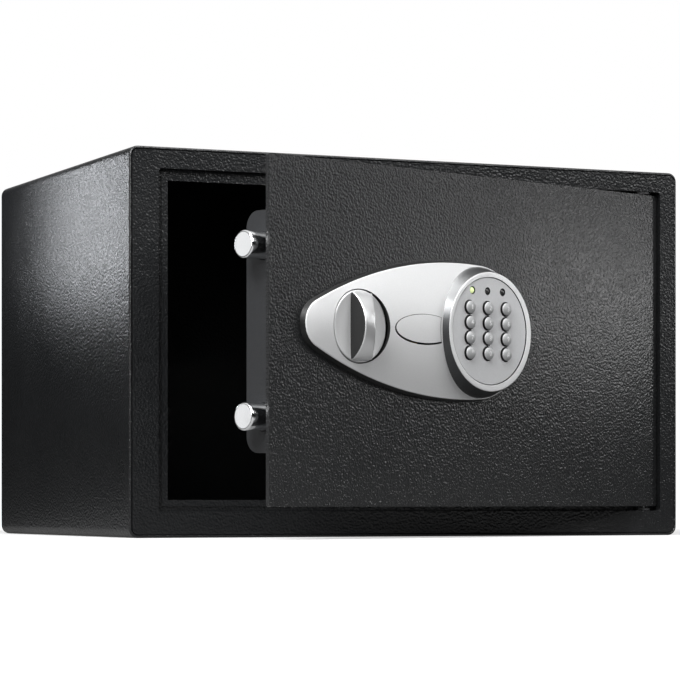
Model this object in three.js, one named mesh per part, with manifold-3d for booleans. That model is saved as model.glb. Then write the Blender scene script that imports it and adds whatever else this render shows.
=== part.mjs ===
// A compact security safe with its door ajar: a folded sheet steel cabinet, a door on concealed
// pins with two round locking bolts, and a keypad lock with a turning knob.
// Millimetres, +Z up, front towards -Y, hinge on the +X side, origin in the middle of the underside.
import * as THREE from 'three';
import { mergeVertices } from 'three/addons/utils/BufferGeometryUtils.js';
import Module from 'manifold-3d';

const wasm = await Module();
wasm.setup();

// Clearances
const seat = 0.3; // between a piece and what it seats on or slides in
const snug = 0.4; // round a cover or a bolt that passes through a sheet
const past = 1; // how far a cut runs past the face that it goes through
const edgeRound = 0.5; // small chamfers and inner corners

// Cabinet
const width = 432;
const depth = 300;
const height = 270;
const wallSheet = 2;
const backSheet = 2;
const cornerRadius = 6.5;
const anchorHole = 10;
const anchorSpacing = 180;
const anchorFromBack = 110; // floor holes, from the rear face
const anchorHeight = 150; // rear holes, above the underside
const matSheet = 3;
const matMargin = 5;
const matHole = 16;

// Front frame: each border is measured in from the outside of the cabinet
const borderLeft = 21.5;
const borderRight = 14;
const borderTop = 14.8;
const borderBottom = 18.2;
const borderSheet = 2.5;
const weldFlange = 15;
const stepSheet = 2;
const openingRadius = 2.5;
const recess = 4.6; // front face to stop flange
const stopWidth = 8;
const stopSheet = 2;
const lipWidth = 4.5;
const lipRise = 0.7;

// Door
const doorAngle = 20.4; // how far it stands ajar, in degrees
const gapFree = 2;
const gapTop = 2.6;
const gapBottom = 3.4;
const doorSheet = 3.2;
const doorRadius = 2;

// Concealed hinge
const pinDiameter = 5;
const pinInset = 10.5; // pin axis to the door's hinge edge
const hingeRunning = 0.4; // least gap of the swinging corner to the frame
const pinOverrun = 3.2;
const blockWidth = 13;
const blockDepth = 8.5;
const blockHeight = 30;
const pinStop = 2; // inner end of the pin to the far end of its block
const bushWall = 1.2;
const bushFlange = 2; // how far the flange stands out round the bush
const bushSheet = 1.5;
const bushProud = 0.5; // bush past the ear that holds it
const earWidth = 26;
const earDepth = 14;

// Lock cover on the back of the door
const coverInset = 10; // free edge of the door to the cover
const coverLength = 247;
const coverHeight = 160;
const coverDepth = 29.5;
const coverSheet = 1.5;
const coverCorner = 11;
const screwDiameter = 4;
const screwHead = 8;
const screwHeadHeight = 2.2;
const screwHeadSide = 1.3;
const screwChamfer = 1.2;
const screwShank = 4;
const tabWidth = 16;
const tabHeight = 13; // how far a screw tab stands out above or below the cover
const tabFromEnd = 34; // screw axis to the end of the cover

// Bolt work
const boltDiameter = 18.5;
const boltSpacing = 112.8;
const boltReach = 8; // how far a thrown bolt stands out past the door
const boltLength = 45;
const boltChamfer = 1.3;
const boltBehindStop = 0.8;
const tenonDiameter = 8;
const tenonLength = 8;
const barWidth = 12;
const barOverhang = 9.6; // bar past a bolt's axis
const guideSheet = 3;
const guideFromCover = 3.5;
const guideMargin = 4.2; // guide metal round the bolt
const guideFoot = 9;
const guideFootSheet = 2.4;
const guideRoom = 2; // guide to the back of the cover
const armSheet = 3;
const armInset = 1.5; // front of the bar to the arm
const armMargin = 3.4; // arm past the plunger
const armAbove = 30; // top of the arm above the knob's axis
const armBelow = 1; // foot of the arm above the knob's axis
const knobTurn = 80; // degrees from locked to open
const crankPin = 6;
const crankPlay = 0.45; // each side of the crank pin in its slot
const camSheet = 3;
const camMargin = 3;
const camBehind = 3.8; // door plate to cam
const crankProud = 1.5; // crank pin past the arm
const plungerDiameter = 6;
const plungerTravel = 6;
const plungerFromKnob = 7; // plunger axis to the knob's axis
const plungerStandOff = 1; // drawn-in tip above the arm
const solenoidWidth = 22;
const solenoidHeight = 26;
const solenoidAbove = 5; // solenoid above the arm
const solenoidCap = 2;

// Control housing on the front of the door
const controlRise = 5.2; // above the middle of the door
const knobFromEdge = 76.7; // knob's axis to the free edge of the door
const housingLift = 0.5; // outline's middle above the knob's axis
const podFromKnob = 117.2;
const tipFromKnob = 31.4;
const podFoot = 47.9;
const tipRadius = 18.2;
const sideRadius = 316;
const edgeHeight = 4.9;
const edgeDraft = 1.3; // lean of the side wall
const edgeSoft = 0.9; // round between the side wall and the dome
const crownRise = 7; // crown above the edge at the pod
const crownAtTip = 0.22; // share of that rise at the tip
const podFootInset = 0.2; // foot of the pod's wall to the outline
const podRadius = 41.6; // round top of the pod
const podHeight = 16.4;
const podRound = 0.9;
const housingWall = 2.6;

// Keypad in the pod
const fasciaShift = 1; // fascia axis to pod axis, towards the knob
const keypadShift = 3; // middle of the keys to pod axis, towards the knob
const keypadRise = 1; // middle of the keypad above the knob's axis
const fasciaRadius = 37.1;
const fasciaSheet = 2.5;
const fasciaDrop = 0.4; // below the rim of the pod
const fasciaGroove = 0.5;
const ledgeWidth = 2.7;
const keyDiameter = 9.3;
const keyPitchX = 18.2;
const keyPitchZ = 10.5;
const keyRows = 4;
const keyColumns = 3;
const keyProud = 3;
const keyDome = 1.4;
const keyTravel = 0.8;
const keyFlange = 0.4;
const keyFlangeSheet = 0.9;
const matThick = 2.1;
const boardSheet = 1.6;
const lampDiameter = 4.2;
const lampPitch = 15.2;
const lampRise = 27.6; // lamps above the middle of the keypad
const lampProud = 0.5;

// Knob
const knobDiameter = 48.6;
const knobWell = 0.8; // gap round the dial
const dialSheet = 5.2;
const dialLift = 1.3; // dial above the door plate
const gripHeight = 14.3;
const gripLength = 46.8;
const gripFoot = 19; // width at the dial
const gripCrest = 9.9; // width along the crest
const gripOffset = 8.6; // upright side of the grip to the knob's axis
const spindleDiameter = 10;
const spindleSocket = 2.6;
const spindleProud = 1.2; // spindle past the cam
const bushOuter = 14;
const spindleBushFlange = 3;
const spindleBushSheet = 1.5;

// Override lock
const overrideFromKnob = 53;
const lidShift = 4.9; // middle of the lift-off cover to the lock, towards the pod
const lidLength = 55.4;
const lidHeight = 19.4;
const lidSheet = 2.4;
const barrelDiameter = 17;
const barrelFlange = 2.5;
const barrelFlangeSheet = 1.7;
const barrelProud = 4.2;
const barrelDepth = 22;
const plugDiameter = 10;
const keywayWidth = 1.4;
const keywayHeight = 7;
const keywayDepth = 6;
const tailSheet = 2;
const tailReach = 13;
const tailWidth = 6;

// Power and electronics
const cellDiameter = 14.3;
const cellLength = 50.3;
const cellPitch = 15.2;
const cellCount = 4;
const cellRound = 0.8;
const terminalHeight = 1.4;
const terminalDiameter = 5.4;
const trayWall = 1.5;
const trayEnd = 1.2; // room at each end of a cell
const trayPlay = 1; // room above and below the cells together
const cellFromBack = 1.5; // cell to the back of the tray
const trayFromHinge = 8.5; // tray to the cover's hinge end
const trayRise = 1; // foot of the tray above the middle of the door
const batteryLidMargin = 2; // lid opening in from the outside of the tray
const boardWidth = 55;
const boardHeight = 50;
const boardFromTray = 45; // controller board's free end to the tray
const boardDrop = 12; // below the middle of the door
const boardBehind = 4.8; // door plate to controller board
const spacerDiameter = 5;
const spacerInset = 5;
const chipWidth = 12;
const chipHeight = 9;
const chipSheet = 2.4;
const chipRise = 8; // foot of the board to the chips
const chipFromEnd = 9.4;
const chipPitch = 23.1;
const buttonDiameter = 6;
const buttonProud = 1.2;
const buttonTravel = 1.5;
const buttonShank = 3; // button past its flange, towards the switch
const buttonFromEnd = 25; // button's axis to the free end of the board
const buttonDrop = 15; // button's axis to the top of the board
const buttonFlange = 1.2;
const buttonFlangeSheet = 1.2;
const switchWidth = 9;
const leadDiameter = 3;
const cableHole = 8;
const cableShift = 9.5; // keypad cable to the keypad's axis, towards the knob
const cableDrop = 3.2; // keypad cable below the keypad's axis
const solenoidLeadAlong = 13; // where the leads end along the board, from its free end
const batteryLeadAlong = 40;

// Facets round a turned piece
const podSides = 48;
const fineSides = 32;
const boltSides = 24;
const sides = 16;
const smallSides = 12;
const arcPoints = 10; // steps along each arc of the control housing
const crownSteps = 5; // steps up its crown
const leadSides = 8;
const leadSteps = 12;

const rad = THREE.MathUtils.degToRad;

// Places that follow from the sizes above
const frontY = -depth / 2;
const openLeft = -width / 2 + borderLeft;
const openRight = width / 2 - borderRight;
const openBottom = borderBottom;
const openTop = height - borderTop;
const pinDepth = doorSheet + seat + pinDiameter / 2;
const gapHinge = Math.hypot(pinInset, pinDepth) - pinInset + hingeRunning;
const doorWidth = openRight - openLeft - gapHinge - gapFree;
const doorHeight = openTop - openBottom - gapTop - gapBottom;
const doorMiddle = openBottom + gapBottom + doorHeight / 2;
const pinX = openRight - gapHinge - pinInset;
const pinY = frontY + pinDepth;

// The door's own frame: x = 0 at the hinge edge and falling to the free edge, y = 0 on the front
// face and rising into the cabinet, z = 0 at the middle of the door
const behindDoor = doorSheet + seat;
const coverLeft = -doorWidth + coverInset;
const coverRight = coverLeft + coverLength;
const coverBack = behindDoor + coverDepth;
const coverInside = coverBack - coverSheet;
const boltAxis = recess + stopSheet + boltBehindStop + boltDiameter / 2;
const boltTip = -doorWidth - boltReach;
const boltEnd = boltTip + boltLength;
const boltTravel = boltReach + coverInset;
const knobX = -doorWidth + knobFromEdge;
const podX = knobX + podFromKnob;
const tipX = knobX - tipFromKnob;
const overrideX = knobX + overrideFromKnob;
const lidX = overrideX + lidShift;
const fasciaX = podX - fasciaShift;
const keypadX = podX - keypadShift;
const keypadZ = controlRise + keypadRise;
const housingZ = controlRise + housingLift;
const crankRadius = boltTravel / 2 / Math.sin(rad(knobTurn / 2));
const crankX = knobX - boltTravel / 2;
const camFront = doorSheet + camBehind;
const camBack = camFront + camSheet;
const barFront = boltAxis - barWidth / 2;
const barLeft = boltEnd + seat;
const barRight = barLeft + barWidth;
const armFront = barFront + armInset;
const armBack = armFront + armSheet;
const armTop = controlRise + armAbove;
const plungerX = knobX + plungerFromKnob;
const ledge = podHeight - fasciaDrop - fasciaSheet - seat;
const fasciaBack = ledge + seat;
const fasciaFront = fasciaBack + fasciaSheet;
const keyBack = fasciaBack - seat - keyFlangeSheet;
const padTop = keyBack - keyTravel - seat;
const padBottom = padTop - matThick;
const padRadius = fasciaRadius - ledgeWidth;
const trayRight = coverRight - trayFromHinge;
const trayLeft = trayRight - cellLength - 2 * trayEnd - 2 * trayWall;
const trayBack = coverInside - seat;
const trayHeight = (cellCount - 1) * cellPitch + cellDiameter + trayPlay + 2 * trayWall;
const cellAxis = trayBack - seat - cellFromBack - cellDiameter / 2;
const trayFront = cellAxis - cellDiameter / 2 - seat - trayWall;
const trayMiddle = trayRise + trayHeight / 2;
const boardLeft = trayLeft - boardFromTray;
const boardFront = doorSheet + boardBehind;
const boardBack = boardFront + boardSheet;
const boardTop = -boardDrop;
const buttonX = boardLeft + buttonFromEnd;
const buttonZ = boardTop - buttonDrop;
const buttonFlangeBack = coverInside - seat;
const buttonFront = buttonFlangeBack - buttonFlangeSheet - buttonShank;
const switchBack = buttonFront - buttonTravel - seat;
const cableX = keypadX - cableShift;
const cableZ = keypadZ - cableDrop;

// Materials
function paint(color, roughness, metalness) {
  return new THREE.MeshStandardMaterial({ color, roughness, metalness });
}

const blackCoat = paint(0x1d1e20, 0.55, 0.2);
const doorCoat = paint(0x2a2b2d, 0.55, 0.2);
const coverCoat = paint(0x34363a, 0.5, 0.2);
const satinSilver = paint(0xbfc1c3, 0.35, 0.8);
const fasciaSilver = paint(0xb0b2b5, 0.45, 0.6);
const keySilver = paint(0x9d9fa3, 0.3, 0.7);
const polishedSteel = paint(0xe6e7e8, 0.12, 1);
const plainSteel = paint(0x8f9296, 0.4, 0.9);
const brass = paint(0xb08d4a, 0.35, 0.9);
const blackPlastic = paint(0x17181a, 0.6, 0);
const rubber = paint(0x2b2b2d, 0.9, 0);
const felt = paint(0x1a1b1e, 1, 0);
const boardGreen = paint(0x1f5a34, 0.6, 0);
const lampOn = paint(0xb6d94a, 0.3, 0);
const lampOff = paint(0x101113, 0.25, 0);
const cellLabel = paint(0x22262c, 0.45, 0.3);
const redPlastic = paint(0xa5201b, 0.45, 0);

// A geometry as a solid whose faces point out
function solid(geometry) {
  const bare = geometry.clone();
  bare.deleteAttribute('normal');
  bare.deleteAttribute('uv');
  const merged = mergeVertices(bare, 1e-4);
  const vertProperties = new Float32Array(merged.attributes.position.array);
  const corners = merged.index.array;
  const triangles = [];
  for (let i = 0; i < corners.length; i += 3) {
    const [a, b, c] = corners.slice(i, i + 3);
    if (a !== b && b !== c && c !== a) {
      triangles.push(a, b, c);
    }
  }
  const triVerts = new Uint32Array(triangles);
  const body = new wasm.Manifold(new wasm.Mesh({ numProp: 3, vertProperties, triVerts }));
  if (body.volume() > 0) {
    return body;
  }
  return new wasm.Manifold(new wasm.Mesh({ numProp: 3, vertProperties, triVerts: triVerts.reverse() }));
}

// A solid as a mesh in the scene
function piece(name, body, material, parent) {
  const { numProp, vertProperties, triVerts } = body.getMesh();
  const positions = [];
  for (let i = 0; i < vertProperties.length; i += numProp) {
    positions.push(vertProperties[i], vertProperties[i + 1], vertProperties[i + 2]);
  }
  const geometry = new THREE.BufferGeometry();
  geometry.setAttribute('position', new THREE.Float32BufferAttribute(positions, 3));
  geometry.setIndex(Array.from(triVerts));
  geometry.computeVertexNormals();
  const mesh = new THREE.Mesh(geometry, material);
  mesh.name = name;
  parent.add(mesh);
  return mesh;
}

const join = (first, ...rest) => rest.reduce((body, other) => body.add(other), first);
const cut = (first, ...rest) => rest.reduce((body, other) => body.subtract(other), first);

// A block between two corners
function block(x0, x1, y0, y1, z0, z1) {
  const geometry = new THREE.BoxGeometry(x1 - x0, y1 - y0, z1 - z0);
  return solid(geometry.translate((x0 + x1) / 2, (y0 + y1) / 2, (z0 + z1) / 2));
}

// A shape drawn in x and z, between two values of y
function slab(shape, y0, y1, curveSegments = 3) {
  const geometry = new THREE.ExtrudeGeometry(shape, { depth: y1 - y0, bevelEnabled: false, curveSegments });
  return solid(geometry.rotateX(Math.PI / 2).translate(0, y1, 0));
}

// A profile of [radius, y] points turned about the y axis through x and z
function turned(profile, x, z, segments = sides) {
  const points = profile.map(([radius, y]) => new THREE.Vector2(radius, y));
  return solid(new THREE.LatheGeometry(points, segments).translate(x, 0, z));
}

const rodY = (radius, y0, y1, x, z, segments = sides) => turned(
  [[0, y0], [radius, y0], [radius, y1], [0, y1]], x, z, segments);

function rodX(radius, x0, x1, y, z, segments = sides) {
  const geometry = new THREE.CylinderGeometry(radius, radius, x1 - x0, segments);
  return solid(geometry.rotateZ(Math.PI / 2).translate((x0 + x1) / 2, y, z));
}

function rodZ(radius, z0, z1, x, y, segments = sides) {
  const geometry = new THREE.CylinderGeometry(radius, radius, z1 - z0, segments);
  return solid(geometry.rotateX(Math.PI / 2).translate(x, y, (z0 + z1) / 2));
}

// A rectangle in x and z with round corners
function roundedRect(x0, x1, z0, z1, radius) {
  const shape = new THREE.Shape();
  shape.absarc(x1 - radius, z0 + radius, radius, -Math.PI / 2, 0);
  shape.absarc(x1 - radius, z1 - radius, radius, 0, Math.PI / 2);
  shape.absarc(x0 + radius, z1 - radius, radius, Math.PI / 2, Math.PI);
  shape.absarc(x0 + radius, z0 + radius, radius, Math.PI, 1.5 * Math.PI);
  return shape;
}

// Ring between two round-cornered rectangles, each given as [x0, x1, z0, z1, radius]
function ring(outer, inner, y0, y1) {
  return cut(slab(roundedRect(...outer), y0, y1), slab(roundedRect(...inner), y0 - past, y1 + past));
}

// A cable along a path
function lead(points, radius) {
  const circle = new THREE.EllipseCurve(0, 0, radius, radius).getPoints(leadSides).slice(0, leadSides);
  const extrudePath = new THREE.CatmullRomCurve3(points.map((point) => new THREE.Vector3(...point)));
  return solid(new THREE.ExtrudeGeometry(
    new THREE.Shape(circle), { steps: leadSteps, extrudePath, bevelEnabled: false }));
}

const safe = new THREE.Group();

// Cabinet: shell, back panel and mat
const outside = (inset) => [
  -width / 2 + inset, width / 2 - inset, inset, height - inset, Math.max(cornerRadius - inset, edgeRound)];
const anchors = [-anchorSpacing / 2, anchorSpacing / 2];

function cabinetShell() {
  const wrap = ring(outside(0), outside(wallSheet), frontY, depth / 2);
  const holes = anchors.map((x) => rodZ(
    anchorHole / 2, -past, wallSheet + past, x, depth / 2 - anchorFromBack));
  return cut(wrap, ...holes);
}

function backPanel() {
  const sheet = slab(roundedRect(...outside(wallSheet + seat)), depth / 2 - backSheet, depth / 2);
  const holes = anchors.map((x) => rodY(
    anchorHole / 2, depth / 2 - backSheet - past, depth / 2 + past, x, anchorHeight));
  return cut(sheet, ...holes);
}

function floorMat() {
  const halfWidth = width / 2 - wallSheet - matMargin;
  const front = frontY + weldFlange + matMargin;
  const back = depth / 2 - backSheet - matMargin;
  const foot = wallSheet + seat;
  const mat = block(-halfWidth, halfWidth, front, back, foot, foot + matSheet);
  const holes = anchors.map((x) => rodZ(
    matHole / 2, foot - past, foot + matSheet + past, x, depth / 2 - anchorFromBack));
  return cut(mat, ...holes);
}

// Opening of the front frame, grown outwards, or drawn in by a negative amount
const opening = (grow) => [
  openLeft - grow, openRight + grow, openBottom - grow, openTop + grow,
  Math.max(openingRadius + grow, edgeRound)];

// Folded frame: border, welded outer flange, step round the opening, stop flange with its lip,
// and the two ears that hold the hinge bushes
function frontFrame() {
  const stopFront = frontY + recess;
  const stopBack = stopFront + stopSheet;
  const outer = outside(wallSheet + seat);
  const border = ring(outer, opening(0), frontY, frontY + borderSheet);
  const flange = ring(outer, outside(wallSheet + seat + stepSheet), frontY, frontY + weldFlange);
  const step = ring(opening(stepSheet), opening(0), frontY, stopBack);
  const hingeSide = block(pinX - earWidth / 2, width, frontY, 0, 0, height);
  const stop = cut(ring(opening(stepSheet / 2), opening(-stopWidth), stopFront, stopBack), hingeSide);
  const lipRing = ring(opening(lipWidth - stopWidth), opening(-stopWidth), stopFront - lipRise, stopBack);
  const lip = cut(lipRing, hingeSide);
  const earLeft = pinX - earWidth / 2;
  const earRight = openRight + stepSheet;
  const upperEar = block(earLeft, earRight, frontY, frontY + earDepth, openTop, openTop + stepSheet);
  const lowerEar = block(earLeft, earRight, frontY, frontY + earDepth, openBottom - stepSheet, openBottom);
  const seatRadius = pinDiameter / 2 + seat + bushWall + seat;
  const upperSeat = rodZ(seatRadius, openTop - past, openTop + stepSheet + past, pinX, pinY);
  const lowerSeat = rodZ(seatRadius, openBottom - stepSheet - past, openBottom + past, pinX, pinY);
  return cut(join(border, flange, step, stop, lip, upperEar, lowerEar), upperSeat, lowerSeat);
}

// Flanged bush, turned about z, with its flange towards the door: up is 1 for the upper hinge
function hingeBush(up) {
  const bore = pinDiameter / 2 + seat;
  const body = bore + bushWall;
  const earFace = up > 0 ? openTop : openBottom;
  const z = (out) => earFace + up * out;
  const along = (from, to) => [Math.min(z(from), z(to)), Math.max(z(from), z(to))];
  const flange = rodZ(body + bushFlange, ...along(-seat - bushSheet, -seat), pinX, pinY);
  const sleeve = rodZ(body, ...along(-seat - bushSheet, stepSheet + bushProud), pinX, pinY);
  const through = along(-seat - bushSheet - past, stepSheet + bushProud + past);
  return cut(join(flange, sleeve), rodZ(bore, ...through, pinX, pinY));
}

piece('cabinet_shell', cabinetShell(), blackCoat, safe);
piece('front_frame', frontFrame(), blackCoat, safe);
piece('back_panel', backPanel(), blackCoat, safe);
piece('floor_mat', floorMat(), felt, safe);
piece('hinge_bush_upper', hingeBush(1), blackPlastic, safe);
piece('hinge_bush_lower', hingeBush(-1), blackPlastic, safe);

// The door hangs from a group that turns about the hinge pins
const hinge = new THREE.Group();
hinge.position.set(pinX, pinY, doorMiddle);
hinge.rotation.z = rad(doorAngle);
safe.add(hinge);
const door = new THREE.Group();
door.position.set(pinInset, -pinDepth, 0);
hinge.add(door);

// The four tabs where the lock cover is screwed to the plate
const screwX = [coverLeft + tabFromEnd, coverRight - tabFromEnd];
const screwZ = [1, -1].map((side) => (side * (coverHeight + tabHeight)) / 2);
const screwPlaces = screwX.flatMap((x) => screwZ.map((z) => [x, z]));

function doorPlate() {
  const sheet = slab(roundedRect(-doorWidth, 0, -doorHeight / 2, doorHeight / 2, doorRadius), 0, doorSheet);
  const threadFoot = behindDoor + coverSheet - screwShank - seat;
  const threads = screwPlaces.map(([x, z]) => rodY(
    screwDiameter / 2 + seat, threadFoot, doorSheet + past, x, z, smallSides));
  const through = (radius, x, z) => rodY(radius, -past, doorSheet + past, x, z);
  const bushHole = through(bushOuter / 2 + seat, knobX, controlRise);
  const barrelHole = through(barrelDiameter / 2 + seat, overrideX, controlRise);
  return cut(sheet, ...threads, bushHole, barrelHole, through(cableHole / 2, cableX, cableZ));
}

// Pressed cover, round along its top and bottom back edges, with holes for the bolts, the screws,
// the battery lid and the reset button
function lockCover() {
  const pan = (inset, front) => {
    const shape = new THREE.Shape();
    const half = coverHeight / 2 - inset;
    const back = coverBack - inset;
    const radius = coverCorner - inset;
    shape.moveTo(front, -half);
    shape.lineTo(back - radius, -half);
    shape.absarc(back - radius, radius - half, radius, -Math.PI / 2, 0);
    shape.absarc(back - radius, half - radius, radius, 0, Math.PI / 2);
    shape.lineTo(front, half);
    const geometry = new THREE.ExtrudeGeometry(
      shape, { depth: coverLength - 2 * inset, bevelEnabled: false, curveSegments: 4 });
    geometry.applyMatrix4(new THREE.Matrix4().makeBasis(
      new THREE.Vector3(0, 1, 0), new THREE.Vector3(0, 0, 1), new THREE.Vector3(1, 0, 0)));
    return solid(geometry.translate(coverLeft + inset, 0, 0));
  };
  const boltHoles = [-1, 1].map((side) => rodX(
    boltDiameter / 2 + snug, coverLeft - past, coverLeft + coverSheet + past, boltAxis,
    side * boltSpacing / 2, boltSides));
  const tabs = screwPlaces.map(([x, z]) => block(
    x - tabWidth / 2, x + tabWidth / 2, behindDoor, behindDoor + coverSheet,
    z - tabHeight / 2 - coverSheet / 2, z + tabHeight / 2 + coverSheet / 2));
  const screwHoles = screwPlaces.map(([x, z]) => rodY(
    screwDiameter / 2 + seat, behindDoor - past, behindDoor + coverSheet + past, x, z, smallSides));
  const lidHole = block(
    trayLeft + batteryLidMargin, trayRight - batteryLidMargin, coverInside - past, coverBack + past,
    trayRise + batteryLidMargin, trayRise + trayHeight - batteryLidMargin);
  const buttonHole = rodY(
    buttonDiameter / 2 + seat, coverInside - past, coverBack + past, buttonX, buttonZ, smallSides);
  const skin = cut(pan(0, behindDoor), pan(coverSheet, behindDoor - past));
  return cut(join(skin, ...tabs), ...boltHoles, ...screwHoles, lidHole, buttonHole);
}

function coverScrew() {
  const radius = screwHead / 2;
  return turned([
    [0, -screwShank], [screwDiameter / 2, -screwShank], [screwDiameter / 2, seat], [radius, seat],
    [radius, seat + screwHeadSide], [radius - screwChamfer, seat + screwHeadHeight],
    [0, seat + screwHeadHeight]], 0, 0, smallSides);
}

// Hinge block behind the plate, with a groove that traps the pin: up is 1 for the upper hinge
const blockEnd = (up) => (up > 0
  ? doorHeight / 2 + gapTop - bushSheet - 3 * seat
  : -doorHeight / 2 - gapBottom + bushSheet + 2 * seat);

function hingeBlock(up) {
  const end = blockEnd(up);
  const other = end - up * blockHeight;
  const [low, high] = [Math.min(end, other), Math.max(end, other)];
  const body = block(
    -pinInset - blockWidth / 2, -pinInset + blockWidth / 2, behindDoor, behindDoor + blockDepth, low, high);
  return cut(body, rodZ(pinDiameter / 2 + seat, low - past, high + past, -pinInset, pinDepth));
}

function hingePin(up) {
  const ear = up > 0 ? doorHeight / 2 + gapTop : -doorHeight / 2 - gapBottom;
  const outer = ear + up * (stepSheet + pinOverrun);
  const inner = blockEnd(up) - up * (blockHeight - pinStop);
  return rodZ(pinDiameter / 2, Math.min(outer, inner), Math.max(outer, inner), -pinInset, pinDepth);
}

piece('door_plate', doorPlate(), doorCoat, door);
piece('lock_cover', lockCover(), coverCoat, door);
screwPlaces.forEach(([x, z], index) => {
  const screw = piece(`cover_screw_${index + 1}`, coverScrew(), plainSteel, door);
  screw.position.set(x, behindDoor + coverSheet, z);
});
piece('hinge_block_upper', hingeBlock(1), doorCoat, door);
piece('hinge_block_lower', hingeBlock(-1), doorCoat, door);
piece('hinge_pin_upper', hingePin(1), plainSteel, door);
piece('hinge_pin_lower', hingePin(-1), plainSteel, door);

// Outline of the control housing: two circles joined by two wide arcs that touch both. The outline
// shrinks towards a spine between the two centres, which each point meets along its own radius.
const housingSpan = podX - tipX;
const toPod = sideRadius - podFoot;
const toTip = sideRadius - tipRadius;
const sideAlong = (housingSpan ** 2 + toPod ** 2 - toTip ** 2) / (2 * housingSpan);
const sideDrop = Math.sqrt(toPod ** 2 - sideAlong ** 2);

// Points of the outline, drawn in by a length, or by a share of the way to the spine
function housingOutline(inset, share = 0) {
  const podAngle = Math.atan2(sideDrop, sideAlong);
  const tipAngle = Math.atan2(sideDrop, sideAlong - housingSpan);
  const sideX = podX - sideAlong;
  const arcs = [
    [podX, 0, podFoot, -podAngle, podAngle],
    [sideX, -sideDrop, sideRadius, podAngle, tipAngle],
    [tipX, 0, tipRadius, tipAngle, 2 * Math.PI - tipAngle],
    [sideX, sideDrop, sideRadius, 2 * Math.PI - tipAngle, 2 * Math.PI - podAngle]];
  return arcs.flatMap(([x, z, radius, from, to]) => {
    const arc = new THREE.EllipseCurve(x, z, radius - inset, radius - inset, from, to);
    return arc.getPoints(arcPoints).slice(0, -1).map((point) => {
      const spineX = z === 0 ? x : x + ((point.x - x) * z) / (z - point.y);
      const along = point.x + (spineX - point.x) * share;
      return new THREE.Vector2(along, point.y * (1 - share) + housingZ);
    });
  });
}

// Height of the crown at a point along the housing: it rises fast from the tip and levels at the pod
function crownAt(x, share) {
  const along = THREE.MathUtils.clamp((x - tipX) / housingSpan, 0, 1);
  const rise = 1 - (1 - crownAtTip) * (1 - along) ** 2;
  return edgeHeight + crownRise * rise * (1 - (1 - share) ** 2);
}

// The housing as a dome over its spine: rings of the outline, each standing higher than the last.
// The same dome, drawn in by a wall, is the hollow behind it.
function crownedHousing(wall, foot) {
  const levels = [
    { inset: 0, share: 0, height: foot },
    { inset: edgeDraft, share: 0, height: edgeHeight - edgeSoft - wall }];
  for (let step = 0; step <= crownSteps; step += 1) {
    levels.push({ inset: edgeDraft + edgeSoft, share: (step / crownSteps) ** 1.5 });
  }
  const rings = levels.map(({ inset, share }) => housingOutline(wall + inset, share));
  const count = rings[0].length;
  const positions = rings.flatMap((points, level) => points.flatMap(
    ({ x, y }) => [x, -(levels[level].height ?? crownAt(x, levels[level].share) - wall), y]));
  const index = [];
  for (let level = 0; level + 1 < rings.length; level += 1) {
    for (let i = 0; i < count; i += 1) {
      const here = level * count + i;
      const next = level * count + ((i + 1) % count);
      index.push(here, next, here + count, next, next + count, here + count);
    }
  }
  THREE.ShapeUtils.triangulateShape(rings[0], []).forEach(([a, b, c]) => {
    index.push(a, c, b);
  });
  const geometry = new THREE.BufferGeometry();
  geometry.setAttribute('position', new THREE.Float32BufferAttribute(positions, 3));
  geometry.setIndex(index);
  return solid(geometry);
}

// Rod out of the door's front face, between two heights above it
function post(radius, low, high, x, z, segments = fineSides) {
  return rodY(radius, -high, -low, x, z, segments);
}

function ellipse(halfLength, halfHeight, low, high) {
  const curve = new THREE.EllipseCurve(lidX, controlRise, halfLength, halfHeight);
  return slab(new THREE.Shape(curve.getPoints(fineSides).slice(0, -1)), -high, -low);
}

const crown = crownedHousing(0, seat);

// Radius of the pod's leaning wall at a height above the door
function podWall(high) {
  const foot = podFoot - podFootInset;
  return foot + ((podRadius - foot) * high) / (podHeight - podRound);
}

const podAtLid = podWall(edgeHeight + crownRise / 2);

// Casting with the pod, the wells for the knob, the lid and the keypad, and a hollow back
function controlHousing() {
  const pod = turned([
    [0, -housingWall], [podWall(housingWall), -housingWall], [podRadius, podRound - podHeight],
    [podRadius - podRound, -podHeight], [0, -podHeight]], podX, housingZ, podSides);
  const hollow = crownedHousing(housingWall, -past);
  const top = podHeight + past;
  const padHollow = post(padRadius + snug, -past, ledge, fasciaX, keypadZ);
  const well = post(fasciaRadius + fasciaGroove, ledge, top, fasciaX, keypadZ);
  const knobHole = post(knobDiameter / 2 + knobWell, -past, top, knobX, controlRise);
  const lidHole = cut(
    ellipse(lidLength / 2 + snug, lidHeight / 2 + snug, -past, top),
    post(podAtLid + seat, -2 * past, top + past, podX, housingZ, podSides));
  return cut(join(crown, pod), hollow, padHollow, well, knobHole, lidHole);
}

function overrideCover() {
  const lidFoot = crownAt(lidX - lidLength / 2, 1) - lidSheet;
  const prism = cut(
    ellipse(lidLength / 2, lidHeight / 2, lidFoot, podHeight),
    post(podAtLid + seat + snug, 0, podHeight + past, podX, housingZ, podSides));
  return prism.intersect(crown);
}

// Keypad: places of the keys and lamps from the middle of the fascia
const keyPlaces = [];
for (let row = 0; row < keyRows; row += 1) {
  for (let column = 0; column < keyColumns; column += 1) {
    keyPlaces.push([
      (column - (keyColumns - 1) / 2) * keyPitchX,
      ((keyRows - 1) / 2 - row) * keyPitchZ]);
  }
}
const lampPlaces = [-1, 0, 1].map((step) => [step * lampPitch, lampRise]);

function fascia() {
  const disc = post(fasciaRadius, fasciaBack, fasciaFront, fasciaX, keypadZ);
  const hole = (diameter) => ([x, z]) => post(
    diameter / 2 + seat, fasciaBack - past, fasciaFront + past, keypadX + x, keypadZ + z, smallSides);
  return cut(disc, ...keyPlaces.map(hole(keyDiameter)), ...lampPlaces.map(hole(lampDiameter)));
}

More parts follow.
